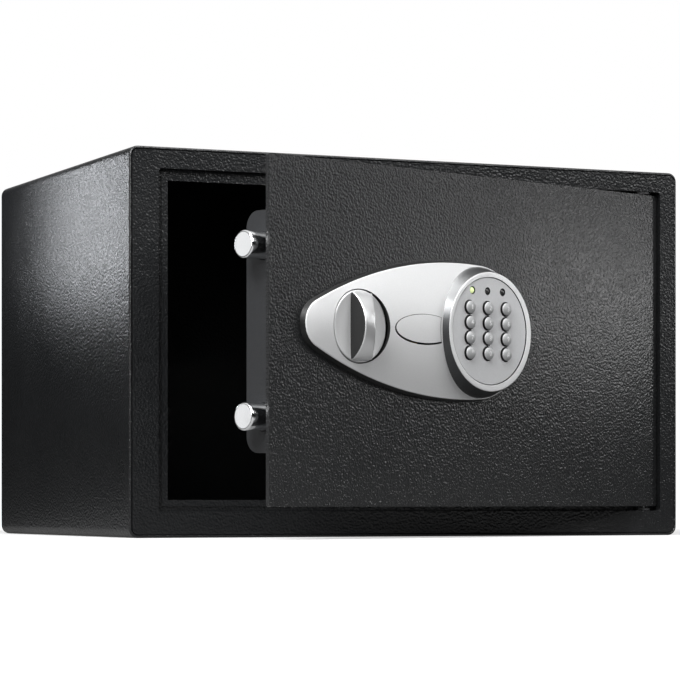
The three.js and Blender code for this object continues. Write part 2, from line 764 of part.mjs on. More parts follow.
function key() {
  const radius = keyDiameter / 2;
  const top = fasciaFront + keyProud;
  return turned([
    [0, -keyBack], [radius + keyFlange, -keyBack], [radius + keyFlange, -keyBack - keyFlangeSheet],
    [radius, -keyBack - keyFlangeSheet], [radius, keyDome - top], [radius * 0.86, keyDome * 0.4 - top],
    [radius * 0.5, -top], [0, -top]], 0, 0, smallSides);
}

function lamp() {
  const radius = lampDiameter / 2;
  const top = fasciaFront + lampProud;
  return turned([
    [0, -padTop - seat], [radius, -padTop - seat], [radius, edgeRound - top],
    [radius * 0.6, -top], [0, -top]], 0, 0, smallSides);
}

piece('control_housing', controlHousing(), satinSilver, door);
piece('fascia', fascia(), fasciaSilver, door);
const keySolid = key();
keyPlaces.forEach(([x, z], index) => {
  piece(`key_${index + 1}`, keySolid, keySilver, door).position.set(keypadX + x, 0, keypadZ + z);
});
const lampSolid = lamp();
lampPlaces.forEach(([x, z], index) => {
  const lens = index === 0 ? lampOn : lampOff;
  piece(`lamp_${index + 1}`, lampSolid, lens, door).position.set(keypadX + x, 0, keypadZ + z);
});
piece('key_mat', post(padRadius, padBottom, padTop, fasciaX, keypadZ), rubber, door);
piece('keypad_board', post(
  padRadius, padBottom - seat - boardSheet, padBottom - seat, fasciaX, keypadZ), boardGreen, door);
piece('override_cover', overrideCover(), satinSilver, door);

// Knob: dial with a half-moon grip, upright on the free side and sloping on the hinge side
function knobDial() {
  const radius = knobDiameter / 2;
  const face = dialLift + dialSheet;
  const disc = turned([
    [0, -dialLift], [radius, -dialLift], [radius, edgeRound - face], [radius - edgeRound, -face],
    [0, -face]],
  knobX, controlRise, fineSides);
  const halfLength = gripLength / 2;
  const arcRadius = (halfLength ** 2 + gripHeight ** 2) / (2 * gripHeight);
  const arcAngle = Math.asin(halfLength / arcRadius);
  const moon = new THREE.EllipseCurve(0, 0, arcRadius, arcRadius, -arcAngle, arcAngle).getPoints(sides);
  const outline = new THREE.Shape(moon.map((point) => new THREE.Vector2(
    point.y, face + gripHeight - arcRadius + point.x)).concat(
    [new THREE.Vector2(halfLength, face - past), new THREE.Vector2(-halfLength, face - past)]));
  const left = knobX - gripOffset;
  const bar = new THREE.ExtrudeGeometry(outline, { depth: gripFoot, bevelEnabled: false });
  bar.applyMatrix4(new THREE.Matrix4().makeBasis(
    new THREE.Vector3(0, 0, 1), new THREE.Vector3(0, -1, 0), new THREE.Vector3(1, 0, 0)));
  bar.translate(left, 0, controlRise);
  const crest = -face - gripHeight - past;
  const wedge = new THREE.Shape([
    new THREE.Vector2(left - past, 2 * past - face), new THREE.Vector2(left + gripFoot, 2 * past - face),
    new THREE.Vector2(left + gripFoot, -face), new THREE.Vector2(left + gripCrest, crest),
    new THREE.Vector2(left - past, crest)]);
  const wedgeBar = new THREE.ExtrudeGeometry(wedge, { depth: 2 * radius, bevelEnabled: false });
  wedgeBar.translate(0, 0, controlRise - radius);
  const rim = post(radius - seat, 0, -crest, knobX, controlRise);
  const grip = solid(bar).intersect(solid(wedgeBar)).intersect(rim);
  const socket = post(
    spindleDiameter / 2 + seat, dialLift - past, dialLift + spindleSocket, knobX, controlRise, sides);
  return cut(join(disc, grip), socket);
}

function knobSpindle() {
  const front = seat - dialLift - spindleSocket;
  return rodY(spindleDiameter / 2, front, camBack + spindleProud, knobX, controlRise);
}

// Crank disc with its pin, upper left of the knob's axis while the bolts are thrown
function driveCam() {
  const start = rad(knobTurn / 2);
  const pinZ = controlRise + crankRadius * Math.cos(start);
  const radius = crankRadius + crankPin / 2 + camMargin;
  const disc = rodY(radius, camFront, camBack, knobX, controlRise, fineSides);
  const pin = rodY(crankPin / 2, camBack - camSheet / 2, armBack + crankProud, crankX, pinZ);
  const bore = rodY(spindleDiameter / 2 + seat, camFront - past, camBack + past, knobX, controlRise);
  return cut(join(disc, pin), bore);
}

function spindleBush() {
  const radius = bushOuter / 2;
  const back = behindDoor + spindleBushSheet;
  const sleeve = rodY(radius, seat - dialLift, back, knobX, controlRise);
  const flange = rodY(radius + spindleBushFlange, behindDoor, back, knobX, controlRise);
  const bore = rodY(spindleDiameter / 2 + seat, -dialLift, back + past, knobX, controlRise);
  return cut(join(sleeve, flange), bore);
}

piece('knob_dial', knobDial(), satinSilver, door);
piece('knob_spindle', knobSpindle(), plainSteel, door);
piece('drive_cam', driveCam(), plainSteel, door);
piece('spindle_bush', spindleBush(), brass, door);

// Bolt work: two bolts with tenons in one upright bar, whose arm the crank pin drives
function lockingBolt() {
  const radius = boltDiameter / 2;
  const profile = [
    [0, 0], [radius - boltChamfer, 0], [radius, boltChamfer], [radius, boltLength],
    [tenonDiameter / 2, boltLength], [tenonDiameter / 2, boltLength + tenonLength],
    [0, boltLength + tenonLength]];
  return solid(new THREE.LatheGeometry(
    profile.map(([r, along]) => new THREE.Vector2(r, along)), boltSides).rotateZ(-Math.PI / 2));
}

function boltCarriage() {
  const half = boltSpacing / 2 + barOverhang;
  const bar = block(barLeft, barRight, barFront, barFront + barWidth, -half, half);
  const armRight = plungerX + plungerDiameter / 2 + seat + armMargin;
  const arm = block(barRight - past, armRight, armFront, armBack, controlRise + armBelow, armTop);
  const tenons = [-1, 1].map((side) => rodX(
    tenonDiameter / 2 + seat, barLeft - past, barRight + past, boltAxis, side * boltSpacing / 2));
  const start = rad(knobTurn / 2);
  const slotRadius = crankPin / 2 + crankPlay;
  const slotLow = controlRise + crankRadius * Math.cos(start) - crankPlay;
  const slotHigh = controlRise + crankRadius + crankPlay;
  const [front, back] = [armFront - past, armBack + past];
  const slot = join(
    rodY(slotRadius, front, back, crankX, slotLow),
    rodY(slotRadius, front, back, crankX, slotHigh),
    block(crankX - slotRadius, crankX + slotRadius, front, back, slotLow, slotHigh));
  const notchHalf = plungerDiameter / 2 + 2 * seat;
  const notchFoot = armTop + plungerStandOff - plungerTravel - 2 * seat;
  const notches = [plungerX, plungerX - boltTravel].map((x) => block(
    x - notchHalf, x + notchHalf, front, back, notchFoot, armTop + past));
  return cut(join(bar, arm), ...tenons, slot, ...notches);
}

// Angled guide round a bolt, with its foot on the door plate
function boltGuide() {
  const half = boltDiameter / 2 + guideMargin;
  const left = coverLeft + coverSheet + guideFromCover;
  const right = left + guideSheet + guideFoot;
  const wall = block(left, left + guideSheet, behindDoor, coverInside - guideRoom, -half, half);
  const foot = block(left, right, behindDoor, behindDoor + guideFootSheet, -half, half);
  const bore = rodX(boltDiameter / 2 + seat, left - past, right + past, boltAxis, 0, boltSides);
  return cut(join(wall, foot), bore);
}

piece('bolt_carriage', boltCarriage(), plainSteel, door);
[['upper', 1], ['lower', -1]].forEach(([place, side]) => {
  const z = side * boltSpacing / 2;
  piece(`locking_bolt_${place}`, lockingBolt(), polishedSteel, door).position.set(boltTip, boltAxis, z);
  piece(`bolt_guide_${place}`, boltGuide(), plainSteel, door).position.set(0, 0, z);
});

// Electric catch above the arm: its plunger drops into a notch of the arm and blocks the carriage
const plungerAxis = armFront + armSheet / 2;
const solenoidFoot = armTop + solenoidAbove;
const solenoidTop = solenoidFoot + solenoidHeight;

function solenoidBody() {
  const half = solenoidWidth / 2;
  const coil = block(
    plungerX - half, plungerX + half, behindDoor, 2 * plungerAxis - behindDoor, solenoidFoot, solenoidTop);
  return cut(coil, rodZ(
    plungerDiameter / 2 + seat, solenoidFoot - past, solenoidTop - solenoidCap, plungerX, plungerAxis));
}

function solenoidPlunger() {
  const tip = armTop + plungerStandOff;
  return rodZ(plungerDiameter / 2, tip, solenoidTop - solenoidCap - seat, plungerX, plungerAxis);
}

piece('solenoid_body', solenoidBody(), blackPlastic, door);
piece('solenoid_plunger', solenoidPlunger(), polishedSteel, door);

// Override lock: a barrel in the door plate and a plug with a keyway and a tail
function overrideBarrel() {
  const radius = barrelDiameter / 2;
  const sleeve = rodY(radius, -barrelProud, barrelDepth, overrideX, controlRise);
  const flange = post(
    radius + barrelFlange, seat, seat + barrelFlangeSheet, overrideX, controlRise, sides);
  const bore = rodY(
    plugDiameter / 2 + seat, -barrelProud - past, barrelDepth + past, overrideX, controlRise);
  return cut(join(sleeve, flange), bore);
}

function overridePlug() {
  const front = -barrelProud - seat;
  const tailFront = barrelDepth + seat;
  const plug = rodY(plugDiameter / 2, front, tailFront + tailSheet, overrideX, controlRise);
  const half = tailWidth / 2;
  const tail = block(
    overrideX - half, overrideX + half, tailFront, tailFront + tailSheet,
    controlRise, controlRise + tailReach);
  const keyway = block(
    overrideX - keywayWidth / 2, overrideX + keywayWidth / 2, front - past, front + keywayDepth,
    controlRise - keywayHeight / 2, controlRise + keywayHeight / 2);
  return cut(join(plug, tail), keyway);
}

piece('override_barrel', overrideBarrel(), brass, door);
piece('override_plug', overridePlug(), brass, door);

// Power supply behind the cover: tray, cells and lid
function batteryTray() {
  const box = block(trayLeft, trayRight, trayFront, trayBack, trayRise, trayRise + trayHeight);
  return cut(box, block(
    trayLeft + trayWall, trayRight - trayWall, trayFront + trayWall, trayBack + past,
    trayRise + trayWall, trayRise + trayHeight - trayWall));
}

function cell() {
  const radius = cellDiameter / 2;
  const shoulder = cellLength - terminalHeight;
  const profile = [
    [0, 0], [radius - cellRound, 0], [radius, cellRound], [radius, shoulder - cellRound],
    [radius - cellRound, shoulder], [terminalDiameter / 2, shoulder],
    [terminalDiameter / 2, cellLength], [0, cellLength]];
  return solid(new THREE.LatheGeometry(
    profile.map(([r, along]) => new THREE.Vector2(r, along)), sides).rotateZ(-Math.PI / 2));
}

function batteryCover() {
  const margin = batteryLidMargin + snug;
  return block(
    trayLeft + margin, trayRight - margin, coverInside, coverBack,
    trayRise + margin, trayRise + trayHeight - margin);
}

piece('battery_tray', batteryTray(), blackPlastic, door);
const cellSolid = cell();
for (let index = 0; index < cellCount; index += 1) {
  const z = trayMiddle + ((cellCount - 1) / 2 - index) * cellPitch;
  const cellMesh = piece(`battery_${index + 1}`, cellSolid, cellLabel, door);
  const turnedRound = index % 2 === 1;
  const x = turnedRound ? trayRight - trayWall - trayEnd : trayLeft + trayWall + trayEnd;
  cellMesh.position.set(x, cellAxis, z);
  cellMesh.rotation.z = turnedRound ? Math.PI : 0;
}
piece('battery_cover', batteryCover(), coverCoat, door);

// Controller board on four spacers, with two chips and the switch under the reset button
function controllerBoard() {
  const right = boardLeft + boardWidth;
  const foot = boardTop - boardHeight;
  const sheet = block(boardLeft, right, boardFront, boardBack, foot, boardTop);
  const inBoard = boardBack - boardSheet / 2;
  const spacers = [boardLeft + spacerInset, right - spacerInset].flatMap(
    (x) => [foot + spacerInset, boardTop - spacerInset].map(
      (z) => rodY(spacerDiameter / 2, behindDoor, inBoard, x, z, smallSides)));
  const chips = [chipFromEnd, chipFromEnd + chipPitch].map((along) => block(
    boardLeft + along, boardLeft + along + chipWidth, inBoard, boardBack + chipSheet,
    foot + chipRise, foot + chipRise + chipHeight));
  const half = switchWidth / 2;
  const tower = block(
    buttonX - half, buttonX + half, inBoard, switchBack, buttonZ - half, buttonZ + half);
  return join(sheet, ...spacers, ...chips, tower);
}

function resetButton() {
  const radius = buttonDiameter / 2;
  const flangeFront = buttonFlangeBack - buttonFlangeSheet;
  return turned([
    [0, buttonFront], [radius, buttonFront], [radius, flangeFront],
    [radius + buttonFlange, flangeFront], [radius + buttonFlange, buttonFlangeBack],
    [radius, buttonFlangeBack], [radius, coverBack + buttonProud - edgeRound],
    [radius - edgeRound, coverBack + buttonProud], [0, coverBack + buttonProud]],
  buttonX, buttonZ, smallSides);
}

piece('controller_board', controllerBoard(), boardGreen, door);
piece('reset_button', resetButton(), redPlastic, door);

// Wiring, each lead ending at the top edge of the controller board
const leadRadius = leadDiameter / 2;
const leadEnd = boardTop + seat;
const leadDepth = boardFront + boardSheet / 2;

piece('keypad_cable', lead([
  [cableX, seat + boardSheet + seat - padBottom, cableZ],
  [cableX, behindDoor, cableZ],
  [cableX, leadDepth - 1, cableZ - 3],
  [cableX, leadDepth, cableZ - 8],
  [cableX, leadDepth, leadEnd]], leadRadius), blackPlastic, door);

const solenoidLeadX = boardLeft + solenoidLeadAlong;
piece('solenoid_lead', lead([
  [plungerX + solenoidWidth / 2 + seat, plungerAxis, solenoidFoot + solenoidHeight / 2],
  [plungerX + solenoidWidth / 2 + 15, plungerAxis, solenoidFoot + solenoidHeight / 2],
  [solenoidLeadX - 8, plungerAxis - 2, solenoidFoot + solenoidHeight / 2 - 3],
  [solenoidLeadX, leadDepth + 2, solenoidFoot - 8],
  [solenoidLeadX, leadDepth, 8],
  [solenoidLeadX, leadDepth, leadEnd]], leadRadius), blackPlastic, door);

const batteryLeadX = boardLeft + batteryLeadAlong;
piece('battery_lead', lead([
  [trayLeft - 2 * seat, cellAxis, trayMiddle - 20],
  [trayLeft - 4, cellAxis, trayMiddle - 20],
  [batteryLeadX, leadDepth + 6, 2],
  [batteryLeadX, leadDepth, -5],
  [batteryLeadX, leadDepth, leadEnd]], leadRadius), blackPlastic, door);

export default safe;
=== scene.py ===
# %% [markdown]
# # A compact security safe
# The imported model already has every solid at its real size. This file gives it the look of the real
# thing: pebbled black powder coat, a satin silver lock housing, polished bolts and soft keys.
# Everything is in metres in the model's own frame: +Z is up and the front faces -Y.
# The frame is loaded first, because each smooth piece is built on the place of a CAD node.

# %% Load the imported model
import math
import bmesh
import bpy
from mathutils import Matrix, Vector


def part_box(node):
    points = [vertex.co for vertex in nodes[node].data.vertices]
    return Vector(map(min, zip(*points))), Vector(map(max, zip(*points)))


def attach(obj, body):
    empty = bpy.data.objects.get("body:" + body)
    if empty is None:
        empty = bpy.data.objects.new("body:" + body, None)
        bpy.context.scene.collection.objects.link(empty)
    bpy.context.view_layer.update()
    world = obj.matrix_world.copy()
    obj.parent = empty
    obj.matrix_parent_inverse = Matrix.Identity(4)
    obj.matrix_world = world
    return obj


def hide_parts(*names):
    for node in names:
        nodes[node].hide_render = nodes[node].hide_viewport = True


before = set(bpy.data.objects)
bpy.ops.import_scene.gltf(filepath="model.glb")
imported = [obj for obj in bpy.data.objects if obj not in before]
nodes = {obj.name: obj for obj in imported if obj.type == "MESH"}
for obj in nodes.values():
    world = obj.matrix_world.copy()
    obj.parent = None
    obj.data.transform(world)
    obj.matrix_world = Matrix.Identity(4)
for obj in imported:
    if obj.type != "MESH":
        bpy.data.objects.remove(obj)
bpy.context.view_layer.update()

# %% [markdown]
# ## Working in the door's own frame
# The door stands ajar, so its pieces are easier to draw flat and then turn. Plan positions are given
# in millimetres: x runs from the hinge edge to the free edge (negative), y runs up from the middle of
# the door, and z is the height above the front of the door plate. One matrix carries all of that to
# the turned door. An object keeps the matrix, so its textures turn with it too.

# %% Frames of the door
MM = 0.001
PIN = Vector((189.50661, -144.0, 137.1))
PIN_TO_EDGE = Vector((10.5, -6.0, 0.0))
DOOR_ANGLE = math.radians(20.4)
DOOR = (
    Matrix.Translation(PIN * MM)
    @ Matrix.Rotation(DOOR_ANGLE, 4, "Z")
    @ Matrix.Translation(PIN_TO_EDGE * MM)
)
FRONT = DOOR @ Matrix.Rotation(math.pi / 2, 4, "X")

# %% Places on the door, along it and above its middle
DOOR_WIDTH, KNOB_FROM_EDGE = 392.50661, 76.7
KNOB_TO_POD, KNOB_TO_TIP, KNOB_TO_LID = 117.2, 31.4, 57.9
KNOB_X = -DOOR_WIDTH + KNOB_FROM_EDGE
POD_X, TIP_X, LID_X = KNOB_X + KNOB_TO_POD, KNOB_X - KNOB_TO_TIP, KNOB_X + KNOB_TO_LID
FASCIA_X, KEYPAD_X = POD_X - 1.0, POD_X - 3.0
RISE, KEYPAD_RISE, HOUSING_RISE = 5.2, 6.2, 5.7
knob_axis = FRONT @ Vector((KNOB_X * MM, RISE * MM, 0))
print("knob axis meets the door at", [round(v, 4) for v in knob_axis])

# %% [markdown]
# ## Helpers that make meshes
# Most real parts here are turned on a lathe, pressed or cast. A lathe part is a profile swept round
# an axis. A cast part is a stack of rings, each with the same number of points, joined by faces.
# Both helpers give closed meshes, which booleans need.

# %% Put a mesh, a curve, a light or a camera into the scene
def put(name, data, place=Matrix()):
    obj = bpy.data.objects.new(name, data)
    bpy.context.scene.collection.objects.link(obj)
    obj.matrix_world = place
    return obj

# %% Turn points and faces into an object
SAME_POINT, SLIVER = 1e-6, 1e-7

def make(name, points, faces, place=FRONT, body="door"):
    mesh = bpy.data.meshes.new(name)
    mesh.from_pydata([Vector(p) * MM for p in points], [], faces)
    bm = bmesh.new()
    bm.from_mesh(mesh)
    bmesh.ops.remove_doubles(bm, verts=bm.verts, dist=SAME_POINT)
    bmesh.ops.dissolve_degenerate(bm, edges=bm.edges, dist=SLIVER)
    bmesh.ops.recalc_face_normals(bm, faces=bm.faces)
    bm.to_mesh(mesh)
    bm.free()
    obj = put(name, mesh, place)
    if body:
        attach(obj, body)
    return obj

# %% Join rings of points into a closed skin
def rings(name, loops, place=FRONT, body="door", wrap=False):
    count = len(loops[0])
    points = [p for loop in loops for p in loop]
    faces = []
    levels = len(loops) if wrap else len(loops) - 1
    for level in range(levels):
        low, high = level * count, (level + 1) % len(loops) * count
        for i in range(count):
            j = (i + 1) % count
            faces.append((low + i, low + j, high + j, high + i))
    if not wrap:
        faces.append(tuple(reversed(range(count))))
        faces.append(tuple(range(len(points) - count, len(points))))
    return make(name, points, faces, place, body)

# %% Points of an oval at one height
def oval(x, y, long, high, height, steps):
    turns = [2 * math.pi * i / steps for i in range(steps)]
    return [(x + long * math.cos(turn), y + high * math.sin(turn), height) for turn in turns]

# %% Turn a profile of (radius, height) round an upright axis
def lathe(name, profile, x, y, steps, place=FRONT, body="door"):
    loops = [oval(x, y, radius, radius, height, steps) for radius, height in profile]
    return rings(name, loops, place, body)

# %% Profile of a plain drum, for cutting
def drum(radius, low, high):
    return [(0, low), (radius, low), (radius, high), (0, high)]

# %% Rounded corner of a profile, as points of a quarter circle
def arc(cx, cy, radius, start, stop, steps):
    return [
        (cx + radius * math.cos(math.radians(start + (stop - start) * i / steps)),
         cy + radius * math.sin(math.radians(start + (stop - start) * i / steps)))
        for i in range(steps + 1)]

# %% Round the edges with a modifier, which leaves the mesh alone
def round_edges(obj, title, width, segments, angle):
    mod = obj.modifiers.new(title, "BEVEL")
    mod.width = width * MM
    mod.segments = segments
    mod.limit_method = "ANGLE"
    mod.angle_limit = math.radians(angle)
    mod.harden_normals = True

# %% Smooth shading that keeps real corners sharp
def smooth(obj, angle, bevel=0.0):
    for polygon in obj.data.polygons:
        polygon.use_smooth = True
    if bevel:
        round_edges(obj, "rounded edges", bevel, 2, angle)
    else:
        obj.data.set_sharp_from_angle(angle=math.radians(angle))

# %% The mesh that an object has after its modifiers
def mesh_of(obj):
    bpy.context.view_layer.update()
    return bpy.data.meshes.new_from_object(obj.evaluated_get(bpy.context.evaluated_depsgraph_get()))

# %% Cut or join with other solids, then keep the plain result
def boolean(obj, steps):
    for operation, other in steps:
        mod = obj.modifiers.new(operation.lower(), "BOOLEAN")
        mod.operation = operation
        mod.solver = "EXACT"
        mod.object = other
    mesh = mesh_of(obj)
    obj.modifiers.clear()
    obj.data = mesh
    for _, other in steps:
        bpy.data.objects.remove(other)
    print(obj.name, "has", len(mesh.polygons), "faces")

# %% [markdown]
# ## The lock housing
# The housing is a zinc casting with a satin silver finish. Its outline is two circles, a wide one
# round the keypad and a small one at the tip, joined by two long arcs that touch both. Each point of
# the outline has its own radius towards a spine between the two centres, so rings that shrink along
# those radii make an even dome with no ridge. The dome is what gives the soft light from top to bottom.
# It rises fast from the tip and levels off at the keypad. The side walls lean in, as on any casting.

# %% Circles and arcs of the outline
POD_FOOT, TIP_RADIUS, SIDE_RADIUS = 47.9, 18.2, 316.0
POD_STEPS, SIDE_STEPS, TIP_STEPS = 88, 56, 32
span = POD_X - TIP_X
to_pod, to_tip = SIDE_RADIUS - POD_FOOT, SIDE_RADIUS - TIP_RADIUS
side_along = (span ** 2 + to_pod ** 2 - to_tip ** 2) / (2 * span)
side_drop = math.sqrt(to_pod ** 2 - side_along ** 2)
side_x = POD_X - side_along
pod_angle = math.atan2(side_drop, side_along)
tip_angle = math.atan2(side_drop, side_along - span)
ROUND = 2 * math.pi
OUTLINE = (
    (POD_X, 0.0, POD_FOOT, -pod_angle, pod_angle, POD_STEPS),
    (side_x, -side_drop, SIDE_RADIUS, pod_angle, tip_angle, SIDE_STEPS),
    (TIP_X, 0.0, TIP_RADIUS, tip_angle, ROUND - tip_angle, TIP_STEPS),
    (side_x, side_drop, SIDE_RADIUS, ROUND - tip_angle, ROUND - pod_angle, SIDE_STEPS))
print("outline:", round(span + POD_FOOT + TIP_RADIUS, 1), "mm long,", 2 * POD_FOOT, "mm high")

# %% One ring of the housing, moved in by an inset or by a share of the way to the spine
CROWN_AT_TIP = 0.22

def outline(inset, share, height, crown=0.0):
    loop = []
    for x, y, radius, start, stop, steps in OUTLINE:
        for i in range(steps):
            turn = start + (stop - start) * i / steps
            px, py = x + (radius - inset) * math.cos(turn), y + (radius - inset) * math.sin(turn)
            spine = x if y == 0 else x + (px - x) * y / (y - py)
            along = px + (spine - px) * share
            rise = 1 - (1 - CROWN_AT_TIP) * (1 - min(max((along - TIP_X) / span, 0), 1)) ** 2
            loop.append((along, py * (1 - share) + HOUSING_RISE, height + crown * rise))
    return loop

# %% Domed body with a leaning side and a soft edge
EDGE_HEIGHT, LEAN, SOFT, CROWN = 4.9, 1.3, 0.9, 7.0
SOFT_START, SOFT_STEPS, RING_SPREAD, LAST_RING = 15, 5, 1.3, 0.999

def dome(name, wall, floor, levels=18, body="door"):
    top, inset = EDGE_HEIGHT - wall, wall + LEAN
    loops = [outline(wall, 0, floor)]
    for i in range(SOFT_STEPS + 1):
        turn = math.radians(SOFT_START + (90 - SOFT_START) * i / SOFT_STEPS)
        loops.append(outline(inset + SOFT * (1 - math.cos(turn)), 0, top - SOFT * (1 - math.sin(turn))))
    for i in range(1, levels + 1):
        share = (i / levels) ** RING_SPREAD
        rise = CROWN * (1 - (1 - share) ** 2)
        loops.append(outline(inset + SOFT, min(share, LAST_RING), top, rise))
    return rings(name, loops, body=body)

# %% The round pod that carries the keypad
POD_RADIUS, POD_HEIGHT, POD_SOFT, POD_WALL_FOOT, POD_SUNK = 41.6, 16.4, 0.9, 47.7, 2.6

def pod_wall(height):
    return POD_WALL_FOOT + (POD_RADIUS - POD_WALL_FOOT) * height / (POD_HEIGHT - POD_SOFT)

pod_profile = [(0.0, POD_SUNK), (pod_wall(POD_SUNK), POD_SUNK)]
pod_profile += arc(POD_RADIUS - POD_SOFT, POD_HEIGHT - POD_SOFT, POD_SOFT, 12, 90, 6)
pod_profile += [(0.0, POD_HEIGHT)]
print("pod wall leans", round(pod_wall(0) - pod_wall(10), 2), "mm in 10")

# %% Sizes of the wells for the knob, the lid and the keypad
CASTING, HOUSING_FOOT, BELOW, ABOVE = 2.6, 0.3, -1, 20
KNOB_RADIUS, KNOB_WELL = 24.3, 25.1
PAD_RADIUS, GROOVE_RADIUS, LEDGE = 34.8, 37.6, 13.2
LID_LONG, LID_HIGH, LID_GAP = 27.7, 9.7, 0.85
HOLE_OFF_POD, LID_OFF_POD = 0.3, 0.7
POD_AT_LID = pod_wall(8.4)
pad_hollow = [(0, BELOW), (PAD_RADIUS, BELOW), (PAD_RADIUS, LEDGE),
              (GROOVE_RADIUS, LEDGE), (GROOVE_RADIUS, ABOVE), (0, ABOVE)]

def lid_oval(gap, height):
    return oval(LID_X, RISE, LID_LONG + gap, LID_HIGH + gap, height, 96)

# %% Cut the wells
housing = dome("control_housing_smooth", 0.0, HOUSING_FOOT)
lid_cutter = rings("lid cutter", [lid_oval(LID_GAP, h) for h in (BELOW, ABOVE)], body=None)
boolean(lid_cutter, [("DIFFERENCE", lathe(
    "pod keeper", drum(POD_AT_LID + HOLE_OFF_POD, BELOW - 2, ABOVE + 2), POD_X, HOUSING_RISE, 128,
    body=None))])
boolean(housing, [
    ("UNION", lathe("pod", pod_profile, POD_X, HOUSING_RISE, 144, body=None)),
    ("DIFFERENCE", dome("hollow", CASTING, BELOW, levels=8, body=None)),
    ("DIFFERENCE", lathe("pad hollow", pad_hollow, FASCIA_X, KEYPAD_RISE, 144, body=None)),
    ("DIFFERENCE", lathe("knob well", drum(KNOB_WELL, BELOW, ABOVE), KNOB_X, RISE, 128, body=None)),
    ("DIFFERENCE", lid_cutter)])
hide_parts("control_housing")
smooth(housing, 32)

# %% [markdown]
# ## The lift-off cover over the override lock
# A small oval lid lies flush in the dome and ends under the pod. It is cut from the same dome as the housing,
# so its face follows the housing exactly. It sits a little high in its hole, which leaves the dark line below
# it and only a faint one above. Painted shade on the side walls of the lid and its hole darkens those lines.

# %% Lid cut from the dome
LID_RIGHT, LID_UP, LID_BOTTOM, LID_TOP = 0.45, 0.5, 7.7, 18.0
lid = rings("override_cover_smooth", [
    [(x + LID_RIGHT, y + LID_UP, h) for x, y, h in lid_oval(0, height)] for height in (LID_BOTTOM, LID_TOP)],
    body="override_lid")
boolean(lid, [
    ("DIFFERENCE", lathe("pod keeper", drum(POD_AT_LID + LID_OFF_POD, 0, ABOVE + 2),
                         POD_X, HOUSING_RISE, 128, body=None)),
    ("INTERSECT", dome("lid dome", 0.0, HOUSING_FOOT, body=None))])
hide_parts("override_cover")
smooth(lid, 32, bevel=0.15)

# %% [markdown]
# ## The keypad
# The fascia is a moulded disc with a hole for each key and lamp. A filled curve is the quickest way to make a
# plate with round holes: each circle is a spline, Blender fills between them, and the curve's own bevel rounds
# every edge. The keys are domed caps with a raised number, and they stand in the holes with a thin gap.
# Painted shade on the hole walls and the keys' sides makes that gap dark.

# %% Turn a curve or a text into a mesh on the door
def mesh_on_door(name, curve, shift):
    shape = put(name + " curve", curve)
    mesh = mesh_of(shape)
    mesh.transform(Matrix.Translation(Vector(shift) * MM))
    bpy.data.objects.remove(shape)
    return put(name, mesh, FRONT)

# %% Plate with round holes, from a filled curve
CIRCLE_POINTS = 8

def plate(name, discs, bottom, top, edge):
    curve = bpy.data.curves.new(name, "CURVE")
    curve.dimensions = "2D"
    curve.fill_mode = "BOTH"
    curve.resolution_u = 10
    curve.extrude = ((top - bottom) / 2 - edge) * MM
    curve.bevel_depth = edge * MM
    curve.bevel_resolution = 2
    curve.offset = -edge * MM
    step = 2 * math.pi / CIRCLE_POINTS
    reach = 4 / 3 * math.tan(step / 4)
    for x, y, radius in discs:
        spline = curve.splines.new("BEZIER")
        spline.bezier_points.add(CIRCLE_POINTS - 1)
        spline.use_cyclic_u = True
        for i, point in enumerate(spline.bezier_points):
            c, s = math.cos(step * i), math.sin(step * i)
            point.co = Vector((x + radius * c, y + radius * s, 0)) * MM
            side = Vector((-s, c, 0)) * radius * reach * MM
            point.handle_left_type = point.handle_right_type = "FREE"
            point.handle_left, point.handle_right = point.co - side, point.co + side
    obj = mesh_on_door(name, curve, (0, 0, (top + bottom) / 2))
    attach(obj, "door")
    return obj

# %% Fascia with twelve key holes and three lamp holes
PLATE_BACK, PLATE_FRONT, PLATE_RADIUS, PLATE_EDGE = 13.5, 16.0, 37.1, 0.15
KEY_HOLE, KEYS_ACROSS, KEYS_DOWN = 5.03, 18.2, 10.5
LAMP_HOLE, LAMPS_ACROSS, LAMPS_UP = 2.6, 15.2, 27.6
key_places = [((column - 1) * KEYS_ACROSS, (1.5 - row) * KEYS_DOWN) for row in range(4) for column in range(3)]
lamp_places = [(step * LAMPS_ACROSS, LAMPS_UP) for step in (-1, 0, 1)]
holes = [(KEYPAD_X + x, KEYPAD_RISE + y, KEY_HOLE) for x, y in key_places]
holes += [(KEYPAD_X + x, KEYPAD_RISE + y, LAMP_HOLE) for x, y in lamp_places]
rim = (FASCIA_X, KEYPAD_RISE, PLATE_RADIUS)
fascia = plate("fascia_smooth", [rim] + holes, PLATE_BACK, PLATE_FRONT, PLATE_EDGE)
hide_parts("fascia")
smooth(fascia, 40)
print("fascia holes:", len(holes))

# %% Profile of a domed key with a flange behind the fascia
KEY_RADIUS, KEY_TOP, DOME, KEY_FOOT = 4.38, PLATE_FRONT + 3.0, 1.6, PLATE_FRONT + 1.25
FLANGE_RADIUS, FLANGE_BACK, FLANGE_FRONT = 5.05, 12.3, 13.2
SHOULDER, FULLNESS = 0.85, 1.1
key_profile = [(0.0, FLANGE_BACK), (FLANGE_RADIUS, FLANGE_BACK), (FLANGE_RADIUS, FLANGE_FRONT),
               (KEY_RADIUS, FLANGE_FRONT), (KEY_RADIUS, KEY_FOOT), (KEY_RADIUS, KEY_TOP - DOME)]
key_profile += [(KEY_RADIUS * math.cos(math.radians(t)) ** SHOULDER,
                 KEY_TOP - DOME + DOME * math.sin(math.radians(t)) ** FULLNESS) for t in range(9, 90, 9)]
key_profile += [(0.0, KEY_TOP)]
print("keys stand", round(KEY_TOP - PLATE_FRONT, 2), "mm proud of the fascia")

